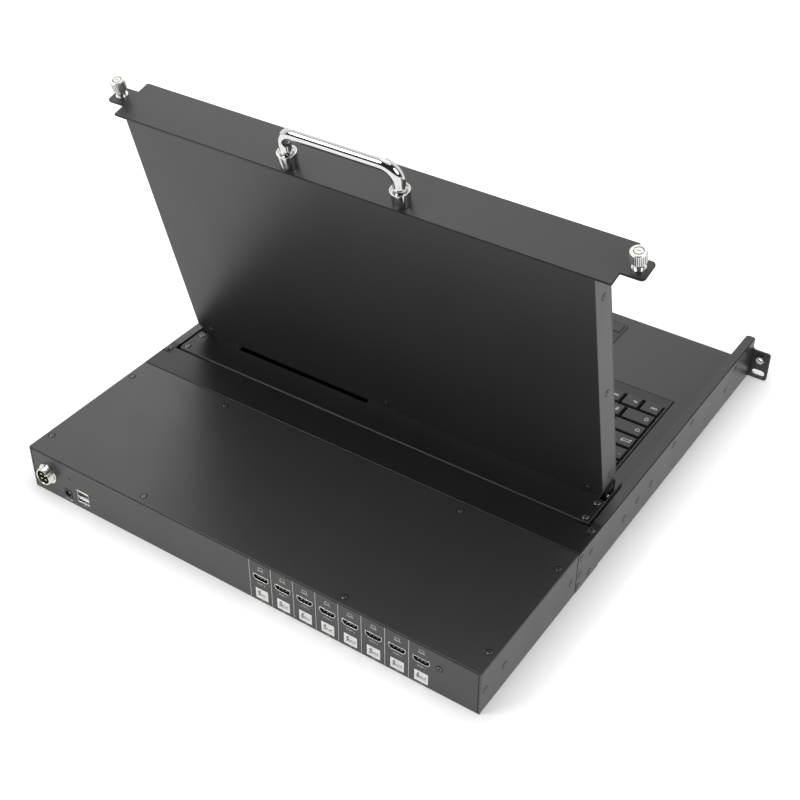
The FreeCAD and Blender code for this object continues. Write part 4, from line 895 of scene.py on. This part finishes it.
# Painted dark lines at the bends of the rails, and knuckles of the hinge
railBendShade = {"line": 0.0019, "drop": 0.0011, "front": 0.003, "rear": 0.349, "proud": 0.00003}


def bendShadeLine(sign):
    # painted reflection: a dark line just under a rail's top flange, for the dark that its tight bend reflects
    b = railBendShade
    level = railTop - b["drop"]
    mesh = strokes([[(b["front"], level), (b["rear"], level)]], b["line"])
    outer = sign * (railSide + b["proud"])
    mesh.transform(Matrix(((0, 0, sign, outer), (1, 0, 0, 0), (0, 1, 0, 0), (0, 0, 0, 1))))
    if sign < 0:
        mesh.flip_normals()
    side = "left" if sign < 0 else "right"
    return pieceFrom(mesh, f"rail_bend_shade_{side}", "chassis", shaded)


knuckle = {"radius": 0.0029, "length": 0.0034, "edge": 0.0005, "side": 0.2092, "along": 0.0095, "out": 0.0035,
           "socket": 0.45, "socketFoot": 0.4, "steps": 32, "crease": 35}


def hingeKnuckle(sign):
    k = knuckle
    half, edge = k["length"] / 2, k["edge"]
    barrel = lathe([(0, -half), (k["radius"] - edge, -half), (k["radius"], -half + edge),
                    (k["radius"], half - edge), (k["radius"] - edge, half), (k["radius"] * k["socket"], half),
                    (k["radius"] * k["socketFoot"], half - edge), (0, half - edge)], k["steps"])
    smoothed(barrel, k["crease"])
    barrel.transform(facing(onLid(sign * k["side"], k["along"], k["out"]), (sign, 0, 0), alongLid))
    return barrel


for sign in (-1, 1):
    bendShadeLine(sign)
knuckles = joined([hingeKnuckle(sign) for sign in (-1, 1)], "hinge_knuckles")
pieceFrom(knuckles, "hinge_knuckles", "lid", finishes["chrome"])
print("bends and knuckles made")


# Threaded round connector
roundPlug = {
    "flange": 0.0097, "flangeGauge": 0.0014, "barrel": 0.008, "bore": 0.0066, "proud": 0.0068,
    "inside": 0.012, "threadFrom": 0.002, "threadPitch": 0.0008, "threadDepth": 0.0003, "threads": 5,
    "edge": 0.0004, "crease": 25,
}


def roundConnector():
    r = roundPlug
    profile = [(r["bore"], -r["inside"]), (r["barrel"], -r["inside"]), (r["barrel"], 0), (r["flange"], 0),
               (r["flange"], r["flangeGauge"] - r["edge"]), (r["flange"] - r["edge"], r["flangeGauge"]),
               (r["barrel"] - r["threadDepth"], r["flangeGauge"])]
    for turn in range(r["threads"]):
        low = r["threadFrom"] + turn * r["threadPitch"]
        profile += [(r["barrel"] - r["threadDepth"], low), (r["barrel"], low + r["threadPitch"] / 2)]
    profile += [(r["barrel"] - r["threadDepth"], r["proud"] - r["edge"] * 2),
                (r["barrel"] - r["threadDepth"] * 2, r["proud"]), (r["bore"] + r["edge"], r["proud"]),
                (r["bore"], r["proud"] - r["edge"]), (r["bore"], -r["inside"])]
    mesh = lathe(profile)
    smoothed(mesh, r["crease"])
    low, high = [Vector(corner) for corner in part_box("round_connector")]
    middle = Vector(((low.x + high.x) / 2, rearFace, (low.z + high.z) / 2))
    mesh.transform(facing(middle, (0, 1, 0)))
    return pieceFrom(mesh, "round_connector_threaded", "chassis", finishes["nickel"],
                     ["round_connector"])


roundConnector()

dualTongues = {"wide": (-0.1713, -0.1601), "inset": 0.0004, "deep": 0.004, "edge": 0.0003,
               "levels": ((0.0172, 0.0187), (0.0098, 0.0127))}


def slab(low, high, edge):
    # a closed block between two corners with rounded edges
    shape = bmesh.new()
    made = bmesh.ops.create_cube(shape, size=1.0)
    middle = (Vector(low) + Vector(high)) / 2
    size = Vector(high) - Vector(low)
    for vertex in made["verts"]:
        vertex.co = middle + Vector([vertex.co[axis] * size[axis] for axis in range(3)])
    bmesh.ops.bevel(shape, geom=shape.edges[:], offset=edge, segments=2, affect="EDGES", profile=0.5)
    mesh = bpy.data.meshes.new("slab")
    shape.to_mesh(mesh)
    shape.free()
    return mesh


def dualPortTongues():
    d = dualTongues
    near, far = sorted(-x for x in d["wide"])
    slabs = [slab((near, rearFace - d["deep"], underside + foot),
                  (far, rearFace - d["inset"], underside + top), d["edge"]) for foot, top in d["levels"]]
    return pieceFrom(joined(slabs, "dual_port_tongues"), "dual_port_tongues", "chassis",
                     finishes["white_plastic"])


dualPortTongues()
print("connector made")


# Camera, lamps and floor
camera = {
    "place": (-0.5350, 1.0653, 0.78595), "aim": (0.0, 0.275, 0.04365),
    "lens": 62.17, "sensor": 36.0, "shift": (0.0079, -0.0019), "clip": 20,
}


def makeCamera():
    data = bpy.data.cameras.new("camera")
    data.lens = camera["lens"]
    data.sensor_width = camera["sensor"]
    data.shift_x, data.shift_y = camera["shift"]
    data.clip_end = camera["clip"]
    eye = bpy.data.objects.new("camera", data)
    eye.location = camera["place"]
    look = Vector(camera["aim"]) - Vector(camera["place"])
    eye.rotation_euler = look.to_track_quat("-Z", "Y").to_euler()
    bpy.context.scene.collection.objects.link(eye)
    bpy.context.scene.camera = eye


lamps = {
    "side": {"place": (-2.2, 0.6, 1.5), "size": 1.6, "power": 22},
    "above": {"place": (0.0, 0.4, 2.6), "size": 2.2, "power": 12},
    "front": {"place": (1.6, -1.4, 1.8), "size": 1.8, "power": 8},
    "edge": {"place": (1.5, 2.1, 2.0), "size": 1.4, "power": 32},   # behind the camera, for the rear edges
}
lampAim = Vector((0, 0.25, 0.1))


def makeLamps():
    for name, lamp in lamps.items():
        data = bpy.data.lights.new(name, "AREA")
        data.shape = "DISK"
        data.size = lamp["size"]
        data.energy = lamp["power"]
        light = bpy.data.objects.new(name, data)
        light.location = lamp["place"]
        light.rotation_euler = (lampAim - light.location).to_track_quat("-Z", "Y").to_euler()
        bpy.context.scene.collection.objects.link(light)


backdrop = {
    "white": 1.0, "world": 0.45, "floor": (0.86, 0.86, 0.86), "half": 6.0, "gap": 0.0002,
    "lift": 0.13, "farLift": 0.6, "far": 0.055,   # painted shadow: the floor's glow is kept low close to the case, so only the floor there stays shaded
    "reflectedLift": 0.35,
    "middle": (0.0, 0.2475, 0.0), "foot": (0.2235, 0.2475, 1.0),   # of the case, seen from above
    "behind": 0.03,   # what a gloss sees behind the camera, where the studio is dark
    "away": (0.56, -0.83, 0.0), "darkEnd": -0.1, "lightEnd": 0.3,
}


def seenBy(graph):
    # 1 for the camera's own rays, and 1 for rays off a gloss or through a glass
    node = graph.tree.nodes.new("ShaderNodeLightPath")
    gloss = Wire(graph, node.outputs["Is Glossy Ray"])
    glass = Wire(graph, node.outputs["Is Transmission Ray"])
    return Wire(graph, node.outputs["Is Camera Ray"]), graph.math("MAXIMUM", gloss, glass)


def makeFloor():
    material, graph = newMaterial("paleFloor")
    diffuse = graph.add("ShaderNodeBsdfDiffuse", values={"Color": opaque(backdrop["floor"])})
    direct, gloss = seenBy(graph)
    # painted shadow: the glow the camera sees is lowest at the case's foot and grows to farLift beyond far, so the
    # floor darkens towards the case
    spot = graph.add("ShaderNodeTexCoord", out="Object")
    for operation, other in (("SUBTRACT", backdrop["middle"]), ("ABSOLUTE", (0.0, 0.0, 0.0)),
                             ("SUBTRACT", backdrop["foot"]), ("MAXIMUM", (0.0, 0.0, 0.0))):
        spot = graph.add("ShaderNodeVectorMath", {"operation": operation}, {0: spot, 1: other})
    aside = graph.add("ShaderNodeVectorMath", {"operation": "LENGTH"}, {0: spot}, out="Value")
    outer = graph.math("MULTIPLY", aside, 1 / backdrop["far"], clamp=True)
    near = backdrop["lift"] + outer * (backdrop["farLift"] - backdrop["lift"])
    strength = direct * near + gloss * backdrop["reflectedLift"]
    lift = graph.add("ShaderNodeEmission", values={"Strength": strength})
    both = graph.add("ShaderNodeAddShader", values={0: diffuse, 1: lift})
    graph.add("ShaderNodeOutputMaterial", values={"Surface": both})
    half = backdrop["half"]
    low = cadBox[0][2] - backdrop["gap"]
    mesh = bpy.data.meshes.new("floor")
    mesh.from_pydata([(-half, -half, low), (half, -half, low), (half, half, low), (-half, half, low)], [],
                     [(0, 1, 2, 3)])
    mesh.materials.append(material)
    floor = bpy.data.objects.new("floor", mesh)
    bpy.context.scene.collection.objects.link(floor)


def makeWorld():
    world = bpy.data.worlds.new("studio")
    bpy.context.scene.world = world
    world.use_nodes = True
    world.node_tree.nodes.clear()
    sky = Graph(world.node_tree)
    direct, gloss = seenBy(sky)
    way = sky.add("ShaderNodeTexCoord", out="Generated")
    ahead = sky.add("ShaderNodeVectorMath", {"operation": "DOT_PRODUCT"}, {0: way, 1: backdrop["away"]},
                    out="Value")
    span = backdrop["lightEnd"] - backdrop["darkEnd"]
    lit = sky.math("MULTIPLY", ahead - backdrop["darkEnd"], 1 / span, clamp=True)
    studio = backdrop["behind"] + (1 - backdrop["behind"]) * lit
    strength = (direct * backdrop["white"] + gloss * studio
                + (1 - sky.math("MAXIMUM", direct, gloss)) * backdrop["world"])
    glow = sky.add("ShaderNodeBackground", values={"Color": opaque((1, 1, 1)), "Strength": strength})
    sky.add("ShaderNodeOutputWorld", values={"Surface": glow})


makeCamera()
makeLamps()
makeFloor()
makeWorld()
bpy.context.scene.view_settings.view_transform = "Standard"
print("stage set")
